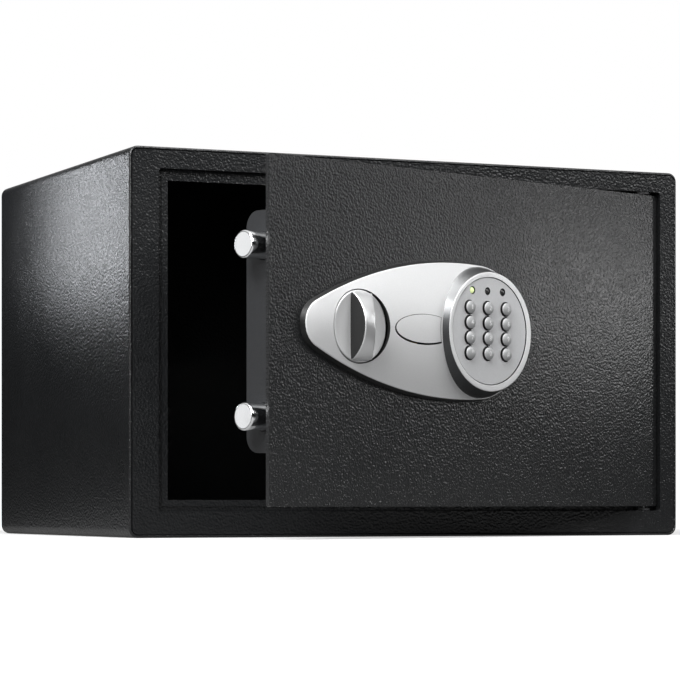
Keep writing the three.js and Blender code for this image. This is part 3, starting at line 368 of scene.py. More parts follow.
# %% Twelve keys, each with its own number
NUMBER_SIZE, NUMBER_RELIEF, NUMBER_DROP = 4.6, 0.09, 0.1
keys, numbers = [], []
for index, (x, y) in enumerate(key_places):
    name = f"key_{index + 1}"
    cap = lathe(f"{name}_smooth", key_profile, KEYPAD_X + x, KEYPAD_RISE + y, 40, body=f"key_cap_{index + 1}")
    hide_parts(name)
    smooth(cap, 50)
    keys.append(cap)
    text = bpy.data.curves.new(f"{name}_number", "FONT")
    text.body = "123456789*0#"[index]
    text.size = NUMBER_SIZE * MM
    text.align_x, text.align_y = "CENTER", "CENTER"
    text.extrude = NUMBER_RELIEF * MM
    text.resolution_u = 3
    number = mesh_on_door(f"{name}_number", text, (
        KEYPAD_X + x, KEYPAD_RISE + y - NUMBER_DROP, KEY_TOP - NUMBER_RELIEF))
    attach(number, f"key_cap_{index + 1}")
    numbers.append(number)
print("keys:", len(keys))

# %% Lamp lenses
LENS, LENS_BACK, LENS_RIM, LENS_DOME = 2.1, 11.7, PLATE_FRONT - 1.0, 1.5
lamp_profile = [(0.0, LENS_BACK), (LENS, LENS_BACK), (LENS, LENS_RIM)]
lamp_profile += [(LENS * math.cos(math.radians(t)), LENS_RIM + LENS_DOME * math.sin(math.radians(t)))
                 for t in range(10, 90, 10)] + [(0.0, LENS_RIM + LENS_DOME)]
lamps = []
for index, (x, y) in enumerate(lamp_places):
    lens = lathe(f"lamp_{index + 1}_smooth", lamp_profile, KEYPAD_X + x, KEYPAD_RISE + y, 32)
    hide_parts(f"lamp_{index + 1}")
    smooth(lens, 50)
    lamps.append(lens)
print("lamps:", len(lamps))

# %% [markdown]
# ## The turning knob
# The dial is a shallow dish with a half-moon grip across it. One side of the grip stands upright, for
# the fingers, and the other slopes, so each cross-section is a corner-rounded wedge whose height
# follows an arc from end to end. The sections are joined like the ribs of a boat, and the two ends
# stay inside the dial's rim.

# %% Dial, with its dish as radius and depth
FACE, DIAL_BACK, DIAL_CHAMFER, DIAL_SOFT = 6.5, 1.3, 0.3, 0.7
DISH = ((22.6, 0.06), (20.5, 0.3), (16.0, 0.5), (0.0, 0.6))
dial_profile = [(0.0, DIAL_BACK), (KNOB_RADIUS - DIAL_CHAMFER, DIAL_BACK),
                (KNOB_RADIUS, DIAL_BACK + DIAL_CHAMFER), (KNOB_RADIUS, FACE - DIAL_SOFT)]
dial_profile += arc(KNOB_RADIUS - DIAL_SOFT, FACE - DIAL_SOFT, DIAL_SOFT, 15, 90, 4)
dial_profile += [(radius, FACE - depth) for radius, depth in DISH]
dial = lathe("knob_dial_smooth", dial_profile, KNOB_X, RISE, 120, body="knob")
smooth(dial, 40)

# %% One cross-section of the half-moon grip
GRIP_HEIGHT, GRIP_HALF, GRIP_FOOT, GRIP_CREST, GRIP_SIDE = 14.3, 23.4, 19.0, 9.9, 8.6
GRIP_SUNK, GRIP_REACH, GRIP_SECTIONS = 1.5, 23.9, 48
SIDE_SOFT, CREST_SOFT, SOFT_SHARE, CREST_BACK = 0.9, 2.6, 0.45, 0.8
LEAST_RISE, MIDWAY, BULGE = 0.02, 0.5, 0.3
arc_radius = (GRIP_HALF ** 2 + GRIP_HEIGHT ** 2) / (2 * GRIP_HEIGHT)
slope = (GRIP_FOOT - GRIP_CREST) / GRIP_HEIGHT

def grip_section(along):
    rise = math.sqrt(max(arc_radius ** 2 - along ** 2, 0)) - arc_radius + GRIP_HEIGHT
    rise = max(rise, LEAST_RISE)
    left, right = -GRIP_SIDE, -GRIP_SIDE + GRIP_FOOT
    crest = right - slope * rise
    soft, wide = min(SIDE_SOFT, rise * SOFT_SHARE), min(CREST_SOFT, rise * SOFT_SHARE)
    section = [(left, -GRIP_SUNK), (left, rise - soft)]
    section += arc(left + soft, rise - soft, soft, 170, 90, 4)
    section += arc(crest - wide * CREST_BACK, rise - wide, wide, 90, math.degrees(math.atan(slope)), 6)
    section += [(right - slope * rise * MIDWAY + BULGE, rise * MIDWAY), (right, 0.0), (right, -GRIP_SUNK)]
    loop = []
    for x, z in section:
        shrink = min(1.0, GRIP_REACH / math.hypot(x, along))
        loop.append((KNOB_X + x * shrink, RISE + along * shrink, FACE + z))
    return loop

# %% Half-moon grip
loops = [grip_section(GRIP_HALF * math.sin(math.pi / 2 * (2 * i / GRIP_SECTIONS - 1)))
         for i in range(GRIP_SECTIONS + 1)]
grip = rings("knob_grip_smooth", loops, body="knob")
smooth(grip, 38)
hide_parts("knob_dial")
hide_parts("knob_dial")
print("grip sections:", len(loops), "crest", round(FACE + GRIP_HEIGHT, 1), "mm above the plate")

# %% [markdown]
# ## The locking bolts
# The bolts are polished steel bars with a turned end. They are long, round and mirror-bright, so any
# facet shows at once: each is turned again here with many more sides than the solid has.

# %% Two turned bolts
BOLT_RADIUS, BOLT_LONG, BOLT_OUT, BOLT_APART = 9.25, 45.0, 8.0, 56.4
BOLT_SOFT, BOLT_FACE, TAIL_RADIUS, TAIL_END = 1.3, 7.55, 4.0, 53.0
BEHIND_DOOR = 4.6 + 2.0 + 0.8
tip_x, axis_y = -DOOR_WIDTH - BOLT_OUT, BEHIND_DOOR + BOLT_RADIUS
bolt_profile = [(0.0, 0.0), (BOLT_FACE, 0.0)]
bolt_profile += arc(BOLT_RADIUS - BOLT_SOFT, BOLT_SOFT, BOLT_SOFT, -90, 0, 6)
bolt_profile += [(BOLT_RADIUS, BOLT_LONG), (TAIL_RADIUS, BOLT_LONG), (TAIL_RADIUS, TAIL_END), (0.0, TAIL_END)]
bolts = []
for name, side in (("upper", 1), ("lower", -1)):
    tip = Matrix.Translation(Vector((tip_x, axis_y, side * BOLT_APART)) * MM)
    place = DOOR @ tip @ Matrix.Rotation(math.pi / 2, 4, "Y")
    bolt = lathe(f"locking_bolt_{name}_smooth", bolt_profile, 0, 0, 80, place, "bolt_work")
    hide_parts(f"locking_bolt_{name}")
    smooth(bolt, 40)
    bolts.append(bolt)

# %% Compare a bolt with its solid
bpy.context.view_layer.update()
solid_low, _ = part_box("locking_bolt_upper")
made_low = min((bolts[0].matrix_world @ v.co).x for v in bolts[0].data.vertices)
print("bolt tip matches its solid to", round(abs(made_low - solid_low.x) * 1000, 3), "mm")

# %% [markdown]
# ## The cabinet shell
# The shell is one sheet wrapped round the front frame, so its corners are soft and its front edge is
# rolled. Rings of a rounded rectangle, one for each turn of the edge, make the wrap in one piece.
# A small lip at the rear is the weld bead that closes the seam round the back panel.

# %% Rounded rectangle in x and z, at a given y
WIDTH, DEPTH, HEIGHT, SHEET, CORNER = 432.0, 300.0, 270.0, 2.0, 6.5
FRONT_Y, BACK_Y = -DEPTH / 2, DEPTH / 2
LEAST_CORNER, CORNER_STEPS = 0.5, 8

def frame_loop(inset, y):
    radius = max(CORNER - inset, LEAST_CORNER)
    left, right, low, high = -WIDTH / 2 + inset, WIDTH / 2 - inset, inset, HEIGHT - inset
    loop = []
    for cx, cz, start in ((right - radius, low + radius, -90), (right - radius, high - radius, 0),
                          (left + radius, high - radius, 90), (left + radius, low + radius, 180)):
        loop += [(x, y, z) for x, z in arc(cx, cz, radius, start, start + 90, CORNER_STEPS)]
    return loop

# %% Shell: up the inside from the weld bead, round the rolled front edge and back along the outside
BEAD, BEAD_FLAT, BEAD_END = 0.32, 1.6, 2.4
ROLL, REAR_SOFT = 1.4, 0.5
INNER_EDGE = ((SHEET, 0.8), (SHEET - 0.25, 0.25), (SHEET - 0.5, 0.0))
shell_loops = [frame_loop(SHEET + BEAD, BACK_Y), frame_loop(SHEET + BEAD, BACK_Y - BEAD_FLAT),
               frame_loop(SHEET, BACK_Y - BEAD_END)]
shell_loops += [frame_loop(inset, FRONT_Y + depth) for inset, depth in INNER_EDGE]
shell_loops += [frame_loop(ROLL * (1 - math.sin(turn)), FRONT_Y + ROLL * (1 - math.cos(turn)))
                for turn in [math.radians(t) for t in range(0, 91, 15)]]
shell_loops += [frame_loop(0, BACK_Y - REAR_SOFT), frame_loop(REAR_SOFT, BACK_Y)]
shell = rings("cabinet_shell_smooth", shell_loops, Matrix.Identity(4), "cabinet", wrap=True)

# %% Anchor holes in its floor
ANCHOR_RADIUS, ANCHOR_X, ANCHOR_Y = 5, 90.0, 40.0
boolean(shell, [
    ("DIFFERENCE", lathe("floor hole", drum(ANCHOR_RADIUS, -2, 4), x, ANCHOR_Y, 48, Matrix.Identity(4), None))
    for x in (-ANCHOR_X, ANCHOR_X)])
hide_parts("cabinet_shell")
smooth(shell, 32)

# %% [markdown]
# ## Soft edges on the folded and milled steel
# The frame, the door plate and the lock cover keep their CAD solids, and so do a few small pieces.
# Paint rounds every edge of such a part a little, and that thin bright line is what makes painted
# steel look real. A bevel modifier adds it without touching the mesh.

# %% Bevels on the solids that stay, as node, width and segments
PAINT_ROUNDS = (
    ("door_plate", 0.6, 3), ("front_frame", 0.8, 3), ("lock_cover", 0.5, 3), ("battery_cover", 0.3, 2),
    ("reset_button", 0.3, 2), ("hinge_block_upper", 0.3, 2), ("hinge_block_lower", 0.3, 2))
for node, width, segments in PAINT_ROUNDS:
    round_edges(nodes[node], "paint round", width, segments, 40)
print("solids with a paint round:", len(PAINT_ROUNDS))

# %% [markdown]
# ## Shader groups
# Three effects are shared. Pebble is the bumpy skin of powder coat. Grain is the fine tooth of satin
# paint and moulded plastic, and with a stretched scale it is also the trace of a lathe or a brush.
# Handling is the soft, uneven sheen that hands leave. Each is a node group, so a material only picks
# the size and the amount.

# %% Small helpers for node trees
MIX_A, MIX_B, MIXED = 6, 7, 2

def add(tree, kind, **values):
    node = tree.nodes.new(kind)
    for key, value in values.items():
        if hasattr(node, key):
            setattr(node, key, value)
        else:
            node.inputs[key.replace("_", " ")].default_value = value
    return node

def wire(tree, *pairs):
    for source, target in pairs:
        tree.links.new(source, target)

def new_group(name, inputs, outputs):
    tree = bpy.data.node_groups.new(name, "ShaderNodeTree")
    for label, kind, value in inputs:
        socket = tree.interface.new_socket(name=label, in_out="INPUT", socket_type=kind)
        if value is not None:
            socket.default_value = value
    for label in outputs:
        tree.interface.new_socket(name=label, in_out="OUTPUT", socket_type="NodeSocketFloat")
    return tree, tree.nodes.new("NodeGroupInput").outputs, tree.nodes.new("NodeGroupOutput").inputs

# %% Helpers that calculate in a node tree
def maths(tree, operation, *values):
    node = add(tree, "ShaderNodeMath", operation=operation)
    for socket, value in zip(node.inputs, values):
        if isinstance(value, (int, float)):
            socket.default_value = value
        else:
            tree.links.new(value, socket)
    return node.outputs[0]

def ramp(tree, source, low, high, to_low, to_high):
    node = add(tree, "ShaderNodeMapRange", interpolation_type="SMOOTHSTEP",
               From_Min=low, From_Max=high, To_Min=to_low, To_Max=to_high)
    tree.links.new(source, node.inputs["Value"])
    return node.outputs["Result"]

def facing(tree, source, direction):
    node = add(tree, "ShaderNodeVectorMath", operation="DOT_PRODUCT")
    node.inputs[1].default_value = direction
    tree.links.new(source, node.inputs[0])
    return node.outputs["Value"]

# %% Group: pebbled powder coat
CELL_DEPTH, TONE_SCALE = -0.7, 0.35
pebble, start, end = new_group("Pebble", [
    ("Vector", "NodeSocketVector", None), ("Scale", "NodeSocketFloat", 400.0)], ["Height", "Tone"])
cells = add(pebble, "ShaderNodeTexVoronoi", feature="SMOOTH_F1", Smoothness=0.7)
ripple = add(pebble, "ShaderNodeTexNoise", Detail=1.5, Roughness=0.45)
tone = add(pebble, "ShaderNodeTexNoise", Detail=2.0)
for node in (cells, ripple):
    wire(pebble, (start["Vector"], node.inputs["Vector"]), (start["Scale"], node.inputs["Scale"]))
wire(pebble,
     (start["Vector"], tone.inputs["Vector"]),
     (maths(pebble, "MULTIPLY", start["Scale"], TONE_SCALE), tone.inputs["Scale"]),
     (maths(pebble, "MULTIPLY_ADD", cells.outputs["Distance"], CELL_DEPTH, ripple.outputs[0]), end["Height"]),
     (tone.outputs[0], end["Tone"]))

# %% Group: fine grain, also stretched into brush or lathe marks
BROAD_SCALE = 0.22
grain, start, end = new_group("Grain", [
    ("Vector", "NodeSocketVector", None), ("Stretch", "NodeSocketVector", (1, 1, 1)),
    ("Scale", "NodeSocketFloat", 1500.0)], ["Height", "Tone"])
pull = add(grain, "ShaderNodeVectorMath", operation="MULTIPLY")
fine = add(grain, "ShaderNodeTexNoise", Detail=2.0, Roughness=0.55)
broad = add(grain, "ShaderNodeTexNoise", Detail=1.0)
wire(grain,
     (start["Vector"], pull.inputs[0]), (start["Stretch"], pull.inputs[1]),
     (pull.outputs[0], fine.inputs["Vector"]), (pull.outputs[0], broad.inputs["Vector"]),
     (start["Scale"], fine.inputs["Scale"]),
     (maths(grain, "MULTIPLY", start["Scale"], BROAD_SCALE), broad.inputs["Scale"]),
     (fine.outputs[0], end["Height"]), (broad.outputs[0], end["Tone"]))

# %% Group: uneven sheen from handling
handling, start, end = new_group("Handling", [
    ("Vector", "NodeSocketVector", None), ("Scale", "NodeSocketFloat", 14.0),
    ("Low", "NodeSocketFloat", 0.3), ("High", "NodeSocketFloat", 0.5)], ["Roughness"])
cloud = add(handling, "ShaderNodeTexNoise", Detail=4.0, Roughness=0.6, Distortion=0.4)
spread = add(handling, "ShaderNodeMapRange", From_Min=0.3, From_Max=0.7)
wire(handling,
     (start["Vector"], cloud.inputs["Vector"]), (start["Scale"], cloud.inputs["Scale"]),
     (cloud.outputs[0], spread.inputs["Value"]),
     (start["Low"], spread.inputs["To Min"]), (start["High"], spread.inputs["To Max"]),
     (spread.outputs["Result"], end["Roughness"]))
print("shader groups:", [g.name for g in (pebble, grain, handling)])

# %% [markdown]
# ## Materials
# Every finish is put together the same way: one group shapes the surface, its tone moves the colour
# between a darker and a lighter value, and Handling varies the roughness. A small recipe holds what is
# different, which keeps the finishes easy to compare.

# %% One finish from a recipe
def finish(name, dark, light, rough, skin=grain, scale=1500.0, stretch=None, depth=0.05,
           metallic=0.0, smudge=14.0, specular=0.5, coat=0.0):
    mat = bpy.data.materials.new(name)
    mat.use_nodes = True
    tree = mat.node_tree
    shader = tree.nodes["Principled BSDF"]
    for label, value in (("Metallic", metallic), ("Specular IOR Level", specular), ("Coat Weight", coat)):
        shader.inputs[label].default_value = value
    where = add(tree, "ShaderNodeTexCoord").outputs["Object"]
    surface = add(tree, "ShaderNodeGroup", node_tree=skin, Scale=scale)
    if stretch:
        surface.inputs["Stretch"].default_value = stretch
    sheen = add(tree, "ShaderNodeGroup", node_tree=handling, Scale=smudge, Low=rough[0], High=rough[1])
    blend = add(tree, "ShaderNodeMix", data_type="RGBA")
    blend.inputs[MIX_A].default_value, blend.inputs[MIX_B].default_value = (*dark, 1), (*light, 1)
    bump = add(tree, "ShaderNodeBump", Distance=depth * MM)
    wire(tree,
         (where, surface.inputs["Vector"]), (where, sheen.inputs["Vector"]),
         (surface.outputs["Tone"], blend.inputs[0]), (blend.outputs[MIXED], shader.inputs["Base Color"]),
         (sheen.outputs["Roughness"], shader.inputs["Roughness"]),
         (surface.outputs["Height"], bump.inputs["Height"]),
         (bump.outputs["Normal"], shader.inputs["Normal"]))
    return mat

# %% Painted steel
black_coat = finish("black powder coat", (0.006, 0.0065, 0.007), (0.011, 0.0115, 0.0125), (0.27, 0.34),
                    pebble, 600.0, depth=0.36)
door_coat = finish("door powder coat", (0.009, 0.0095, 0.01), (0.015, 0.0155, 0.0165), (0.29, 0.36),
                   pebble, 620.0, depth=0.37)
cover_coat = finish("lock cover paint", (0.017, 0.018, 0.02), (0.025, 0.026, 0.028), (0.38, 0.48),
                    pebble, 900.0, depth=0.05)

# %% Silver finishes of the lock
SATIN_TOOTH, MOULDED_TOOTH = 5200.0, 3800.0
satin_silver = finish("satin silver", (0.7, 0.705, 0.71), (0.76, 0.765, 0.77), (0.38, 0.46),
                      scale=SATIN_TOOTH, depth=0.012, metallic=0.25)
grip_silver = finish("grip silver", (0.68, 0.685, 0.69), (0.74, 0.745, 0.75), (0.3, 0.38),
                     scale=SATIN_TOOTH, depth=0.012, metallic=0.8)
# Pod wall: bare metal whose dark base colour is painted shade; the cell below adds painted light towards its
# top
pod_wall_painted_shade = finish("pod wall painted shade", (0.08, 0.082, 0.084), (0.11, 0.112, 0.115), (0.28, 0.36),
                     scale=SATIN_TOOTH, depth=0.012, metallic=1.0)
number_grey = finish("pale number print", (0.76, 0.765, 0.77), (0.84, 0.845, 0.85), (0.4, 0.5),
                     scale=MOULDED_TOOTH, depth=0.008)
fascia_silver = finish("fascia silver", (0.53, 0.535, 0.545), (0.59, 0.595, 0.605), (0.44, 0.52),
                       scale=MOULDED_TOOTH, depth=0.02, metallic=0.3)
key_silver = finish("key silver", (0.37, 0.375, 0.38), (0.43, 0.435, 0.44), (0.4, 0.48),
                    scale=MOULDED_TOOTH, depth=0.01, metallic=0.25)

# %% Painted light: the pod's wall pales towards its top
PAINTED_LIGHT_LOW, PAINTED_LIGHT_HIGH, PAINTED_LIGHT_ON_WALL = 0.012, 0.04, (0.4, 0.405, 0.41, 1)
painted_light_tree = pod_wall_painted_shade.node_tree
painted_light_mix = add(painted_light_tree, "ShaderNodeMix", data_type="RGBA")
painted_light_mix.inputs[MIX_B].default_value = PAINTED_LIGHT_ON_WALL
up_the_door = add(painted_light_tree, "ShaderNodeSeparateXYZ")
wire(painted_light_tree,
     (painted_light_tree.nodes["Texture Coordinate"].outputs["Object"], up_the_door.inputs[0]),
     (ramp(painted_light_tree, up_the_door.outputs["Y"], PAINTED_LIGHT_LOW, PAINTED_LIGHT_HIGH, 0.0, 1.0), painted_light_mix.inputs[0]),
     (painted_light_tree.nodes["Mix"].outputs[MIXED], painted_light_mix.inputs[MIX_A]),
     (painted_light_mix.outputs[MIXED], painted_light_tree.nodes["Principled BSDF"].inputs["Base Color"]))

# %% Bare metals
polished_steel = finish("polished steel", (0.78, 0.79, 0.8), (0.86, 0.87, 0.88), (0.1, 0.17), scale=1.0,
                        stretch=(18, 18, 2600), depth=0.006, metallic=1.0, smudge=60.0)
plain_steel = finish("zinc plated steel", (0.42, 0.43, 0.44), (0.56, 0.57, 0.57), (0.28, 0.42), scale=1.0,
                     stretch=(900, 900, 160), depth=0.02, metallic=1.0, smudge=45.0)
brass = finish("turned brass", (0.62, 0.44, 0.18), (0.72, 0.54, 0.26), (0.22, 0.34), scale=1.0,
               stretch=(1400, 1400, 1400), depth=0.01, metallic=1.0, smudge=60.0)

# %% Plastics, rubber and felt
# Near-black painted shade for the gaps, the housing's low side walls, the keys' sides and the grip's upright
# side
painted_shade_black = finish("painted shade black", (0.006, 0.006, 0.006), (0.012, 0.012, 0.012), (0.3, 0.4),
                    scale=2600.0, depth=0.02)
black_plastic = finish("moulded black plastic", (0.014, 0.014, 0.015), (0.024, 0.024, 0.026), (0.42, 0.55),
                       scale=2600.0, depth=0.03)
rubber = finish("key mat rubber", (0.02, 0.02, 0.02), (0.034, 0.034, 0.034), (0.65, 0.8),
                scale=3000.0, depth=0.03)
felt = finish("floor felt", (0.012, 0.013, 0.016), (0.03, 0.032, 0.038), (0.85, 0.97), scale=1.0,
              stretch=(2200, 900, 2200), depth=0.25, specular=0.2)
circuit_green = finish("green solder mask", (0.02, 0.13, 0.055), (0.04, 0.2, 0.09), (0.25, 0.4),
                       scale=700.0, depth=0.03, coat=0.3)
cell_label = finish("cell sleeve", (0.03, 0.034, 0.04), (0.06, 0.065, 0.075), (0.2, 0.3),
                    scale=900.0, depth=0.01, metallic=0.4)
red_plastic = finish("red plastic", (0.42, 0.02, 0.015), (0.56, 0.035, 0.022), (0.25, 0.35),
                     scale=1800.0, depth=0.01)

# %% Lamp lenses: one lit, two dark
LAMP_GLOW = 0.55
lamp_dark = finish("dark lamp lens", (0.012, 0.012, 0.012), (0.03, 0.03, 0.03), (0.06, 0.12),
                   scale=1200.0, depth=0.004, coat=0.6, smudge=200.0)
lamp_lit = finish("lit lamp lens", (0.6, 0.76, 0.3), (0.82, 0.93, 0.5), (0.12, 0.2),
                  scale=1200.0, depth=0.004, coat=0.4, smudge=200.0)
glow = lamp_lit.node_tree
glow_shader = glow.nodes["Principled BSDF"]
glow_shader.inputs["Emission Strength"].default_value = LAMP_GLOW
glow.links.new(glow.nodes["Mix"].outputs[MIXED], glow_shader.inputs["Emission Color"])

# %% Dress the new pieces and the solids that stay
def dress(mat, *things):
    for thing in things:
        obj = nodes[thing] if isinstance(thing, str) else thing
        if not obj.material_slots:
            obj.data.materials.append(mat)
        for slot in obj.material_slots:
            slot.material = mat

dress(black_coat, shell, "cabinet_shell", "front_frame", "back_panel")
dress(door_coat, "door_plate", "hinge_block_upper", "hinge_block_lower")
dress(cover_coat, "lock_cover")
dress(satin_silver, housing, lid, dial, "control_housing", "override_cover", "knob_dial")
dress(grip_silver, grip)
dress(number_grey, *numbers)
dress(fascia_silver, fascia, "fascia")
dress(key_silver, *keys, *[f"key_{i}" for i in range(1, 13)])
dress(polished_steel, *bolts, "locking_bolt_upper", "locking_bolt_lower")
dress(plain_steel, "hinge_pin_upper", "hinge_pin_lower", "knob_spindle", "drive_cam", "bolt_carriage",
      "bolt_guide_upper", "bolt_guide_lower", "solenoid_body", "solenoid_plunger",
      *[f"cover_screw_{i}" for i in range(1, 5)])
dress(brass, "spindle_bush", "override_barrel", "override_plug")
dress(black_plastic, "hinge_bush_upper", "hinge_bush_lower", "battery_tray", "battery_cover",
      "keypad_cable", "solenoid_lead", "battery_lead")
dress(rubber, "key_mat")
dress(felt, "floor_mat")
dress(circuit_green, "keypad_board", "controller_board")
dress(cell_label, *[f"battery_{i}" for i in range(1, 5)])
dress(red_plastic, "reset_button")
dress(lamp_lit, lamps[0], "lamp_1")
dress(lamp_dark, lamps[1], lamps[2], "lamp_2", "lamp_3")
undressed = [name for name, obj in nodes.items() if not any(s.material for s in obj.material_slots)]
print("nodes without a finish:", undressed)

# %% [markdown]
# ## A second finish on some faces: painted shade
# The gaps round the knob, the lid, the fascia and the keys are deep on the real lock. Here their walls, the
# housing's low side walls and the grip's upright side are painted near-black as painted shade. The pod's wall
# is bare metal with a dark colour, which is painted shade, and it pales towards its top as painted light. Each
# of these is a set of faces that a place or a direction picks out, so those faces take a second material slot.

# %% Give the faces that pass a test another material
def refinish(obj, mat, test):
    obj.data.materials.append(mat)
    count = 0
    for polygon in obj.data.polygons:
        x, y, z = polygon.center / MM
        if test(x, y, z, polygon.normal):
            polygon.material_index = len(obj.data.materials) - 1
            count += 1
    print(obj.name, "has", count, "faces of", mat.name)

# %% Tests for the faces that get painted shade, in a gap or on the housing's low side wall, and for those on the pod's wall
WELL_EDGE, GROOVE_EDGE, LID_SPARE = KNOB_WELL + 0.2, GROOVE_RADIUS + 0.1, 1.0
RIM_SLOPE, GAP_SLOPE, WALL_SLOPE, WALL_FOOT, WALL_IN = 0.6, 0.5, 0.6, 5, 0.5

def painted_shade_on_housing(x, y, z, normal):
    knob = math.hypot(x - KNOB_X, y - RISE) < WELL_EDGE
    groove = math.hypot(x - FASCIA_X, y - KEYPAD_RISE) < GROOVE_EDGE
    across, up = (x - LID_X) / (LID_LONG + LID_SPARE), (y - RISE) / (LID_HIGH + LID_SPARE)
    lid_hole = across ** 2 + up ** 2 < 1
    clear_of_pod = math.hypot(x - POD_X, y - HOUSING_RISE) > POD_AT_LID + WALL_IN
    foot = z < EDGE_HEIGHT - SOFT and normal.z < RIM_SLOPE
    return foot or normal.z < GAP_SLOPE and (knob or groove or (lid_hole and clear_of_pod))

def on_pod_wall(x, y, z, normal):
    return (normal.z < WALL_SLOPE and z > WALL_FOOT
            and math.hypot(x - POD_X, y - HOUSING_RISE) > POD_RADIUS - WALL_IN)

# %% Painted shade in the gaps, on the housing's low side walls, the keys' sides and the grip's upright side, and on the pod's wall
FLAT, LEVEL, FASCIA_RIM = 0.97, 0.2, 1.1

def upright_side(x, y, z, normal):
    return normal.x < -FLAT

def lid_edge(x, y, z, normal):
    return abs(normal.z) < LEVEL

def hole_edge(x, y, z, normal):
    from_middle = math.hypot(x - FASCIA_X, y - KEYPAD_RISE)
    return abs(normal.z) < FLAT and from_middle < PLATE_RADIUS - FASCIA_RIM

def key_foot(x, y, z, normal):
    return z < KEY_FOOT

# Painted shade on the grip's upright side, the pod's wall, the gaps, the lid's edge, the fascia's holes and
# the keys' feet
refinish(grip, painted_shade_black, upright_side)
refinish(housing, pod_wall_painted_shade, on_pod_wall)
refinish(housing, painted_shade_black, painted_shade_on_housing)
refinish(lid, painted_shade_black, lid_edge)
refinish(fascia, painted_shade_black, hole_edge)
for cap in keys:
    refinish(cap, painted_shade_black, key_foot)

# %% [markdown]
# ## The floor
# The safe stands on white paper. Where the camera looks, the floor glows white far away and keeps a
# soft shadow near the safe. Mirrors see a faint strip of that glow, which runs along the view, and
# all else sees a plain grey sheet, so the glow puts no light on the object.

# %% Sheet of the floor
REACH, FLOOR_Z = 6, -0.0002
floor_mesh = bpy.data.meshes.new("floor")
floor_mesh.from_pydata([(x, y, FLOOR_Z) for x, y in (
    (-REACH, -REACH), (REACH, -REACH), (REACH, REACH), (-REACH, REACH))], [], [(0, 1, 2, 3)])
floor = put("floor", floor_mesh)

# %% Paper that is white far away, and in mirrors only along a strip
ACROSS_VIEW, STRIP_EDGE, STRIP_SHARE = (0.9165, -0.4, 0.0), (0.2, 0.4), 0.3
GLOW_EDGE, GLOW_LEAST = (0.3, 0.75), 0.52
PAPER, DULL = (0.45, 0.45, 0.45, 1), (0.12, 0.12, 0.12, 1)
paper = bpy.data.materials.new("white paper floor")
paper.use_nodes = True
tree = paper.node_tree
tree.nodes.clear()
surface = add(tree, "ShaderNodeOutputMaterial").inputs["Surface"]
where = add(tree, "ShaderNodeTexCoord").outputs["Object"]
ray = add(tree, "ShaderNodeLightPath").outputs
distance = add(tree, "ShaderNodeVectorMath", operation="LENGTH")
glow_paper = add(tree, "ShaderNodeEmission")
matt = add(tree, "ShaderNodeBsdfDiffuse", Color=PAPER)
plain = add(tree, "ShaderNodeBsdfDiffuse", Color=DULL)
both = add(tree, "ShaderNodeAddShader")
pick = add(tree, "ShaderNodeMixShader")
aside = maths(tree, "ABSOLUTE", facing(tree, where, ACROSS_VIEW))
strip = ramp(tree, aside, *STRIP_EDGE, STRIP_SHARE, 0.0)
mirrors = maths(tree, "MAXIMUM", ray["Is Glossy Ray"], ray["Is Transmission Ray"])
share = maths(tree, "MAXIMUM", maths(tree, "MULTIPLY", mirrors, strip), ray["Is Camera Ray"])
wire(tree, (where, distance.inputs[0]),
     (ramp(tree, distance.outputs["Value"], *GLOW_EDGE, GLOW_LEAST, 1.0), glow_paper.inputs["Strength"]),
     (glow_paper.outputs[0], both.inputs[0]), (matt.outputs[0], both.inputs[1]),
     (share, pick.inputs[0]), (plain.outputs[0], pick.inputs[1]), (both.outputs[0], pick.inputs[2]),
     (pick.outputs[0], surface))
floor_mesh.materials.append(paper)

# %% [markdown]
# ## The world
# Most of a black glossy object's look is what it mirrors. So mirrors see a bright screen behind the
# safe, a card beyond its left side and a pale ceiling, and little else. The camera sees plain white,
# and matt surfaces get a faint even light from above. Light Path tells the three apart.

# %% World: white to the camera, screen, card and ceiling in mirrors, soft elsewhere
SCREEN_WAY, SCREEN_EDGE, SCREEN_LEVEL = (0.3995, 0.9167, 0.0), (0.9, 0.985), 0.98
CARD_WAY, CARD_EDGE, CARD_LEVEL = (-0.902, 0.432, 0.0), (0.95, 0.98), 1.0
CEILING_EDGE, CEILING_LEVEL, DARK_ROOM = (0.3, 0.8), 0.9, 0.01
SOFT_EDGE, SOFT_MOST, SOFT_LEAST = (0.2, 0.95), 0.08, 0.012
world = bpy.data.worlds.new("studio")
bpy.context.scene.world = world
world.use_nodes = True
sky = world.node_tree
sky.nodes.clear()
surface = add(sky, "ShaderNodeOutputWorld").inputs["Surface"]
backdrop = add(sky, "ShaderNodeBackground", Color=(1, 1, 1, 1))
where = add(sky, "ShaderNodeTexCoord").outputs["Generated"]
ray = add(sky, "ShaderNodeLightPath").outputs
split = add(sky, "ShaderNodeSeparateXYZ")
sky.links.new(where, split.inputs[0])
upward, camera_ray = split.outputs["Z"], ray["Is Camera Ray"]
screen = ramp(sky, facing(sky, where, SCREEN_WAY), *SCREEN_EDGE, 0.0, SCREEN_LEVEL)
card = ramp(sky, facing(sky, where, CARD_WAY), *CARD_EDGE, 0.0, CARD_LEVEL)
ceiling = ramp(sky, upward, *CEILING_EDGE, 0.0, CEILING_LEVEL)
brightest = maths(sky, "MAXIMUM", maths(sky, "MAXIMUM", screen, card), ceiling)
mirrored = maths(sky, "ADD", brightest, DARK_ROOM)
soft = maths(sky, "ADD", ramp(sky, upward, *SOFT_EDGE, 0.0, SOFT_MOST), SOFT_LEAST)
glossy = maths(sky, "MAXIMUM", ray["Is Glossy Ray"], ray["Is Transmission Ray"])
matt_share = maths(sky, "MULTIPLY", maths(sky, "SUBTRACT", 1.0, glossy), soft)
indirect = maths(sky, "ADD", maths(sky, "MULTIPLY", glossy, mirrored), matt_share)
unseen = maths(sky, "MULTIPLY", maths(sky, "SUBTRACT", 1.0, camera_ray), indirect)
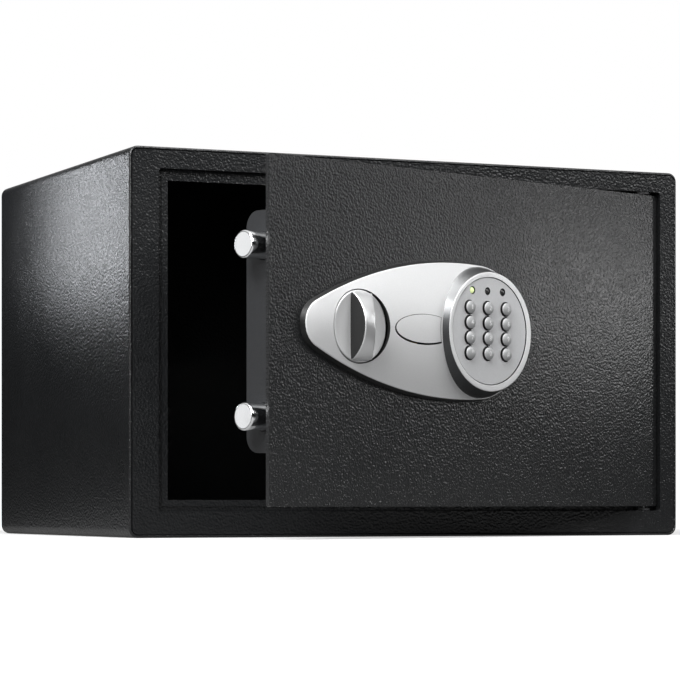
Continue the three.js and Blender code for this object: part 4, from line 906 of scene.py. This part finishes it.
wire(sky, (maths(sky, "ADD", camera_ray, unseen), backdrop.inputs["Strength"]), (backdrop.outputs[0], surface))

# %% [markdown]
# ## Lamps and camera
# Eight soft lamps light the pebbles and the silver. A large one hangs overhead and two stand in front.
# Small ones stand near the sides, each for one patch: a narrow one behind the left side gives its
# gradient, and the near ones lift the door's right half and the housing's tip. The lamps stay at a
# plain level, because the white of the background comes from the world and the floor.

# %% Soft lamps: place, target, size and power
def lamp(name, place, target, size, power, colour=(1, 1, 1)):
    data = bpy.data.lights.new(name, "AREA")
    data.shape = "RECTANGLE"
    data.size, data.size_y = size
    data.energy = power
    data.color = colour
    obj = put(name, data)
    obj.location = place
    obj.rotation_euler = (Vector(target) - Vector(place)).to_track_quat("-Z", "Y").to_euler()
    obj.visible_camera = False

lamp("overhead lamp", (-0.05, -0.62, 1.45), (0, -0.15, 0.15), (0.9, 0.5), 13)
lamp("front left lamp", (-0.95, -0.9, 1.15), (0, -0.2, 0.15), (0.6, 0.6), 24)
lamp("front right lamp", (0.75, -1.2, 0.9), (0, -0.2, 0.15), (0.5, 0.5), 5)
lamp("right lamp", (1.1, -0.58, 0.46), (0.15, -0.2, 0.16), (0.2, 0.2), 1.1)
lamp("near right lamp", (0.43, -0.275, 0.19), (0.14, -0.19, 0.14), (0.08, 0.08), 0.15)
lamp("near left lamp", (-0.45, -0.62, 0.36), (-0.13, -0.26, 0.14), (0.15, 0.15), 0.9)
lamp("left lamp", (-1.0, -0.46, 0.3), (-0.2, -0.15, 0.16), (0.1, 0.3), 1.3)
lamp("left rear lamp", (-0.34, 0.18, 0.27), (-0.216, -0.12, 0.2), (0.05, 0.16), 0.26, (0.93, 0.96, 1.0))

# %% Camera at the photograph's viewing angle
camera_data = bpy.data.cameras.new("camera")
camera_data.lens = 152.55
camera_data.sensor_width = 36.0
camera_data.shift_y = 0.2344
camera = put("camera", camera_data)
camera.location = (-0.87552, -2.02085, 0.02656)
camera.rotation_euler = (math.radians(90), 0, math.radians(-23.601))
bpy.context.scene.camera = camera
bpy.context.scene.view_settings.view_transform = "Standard"
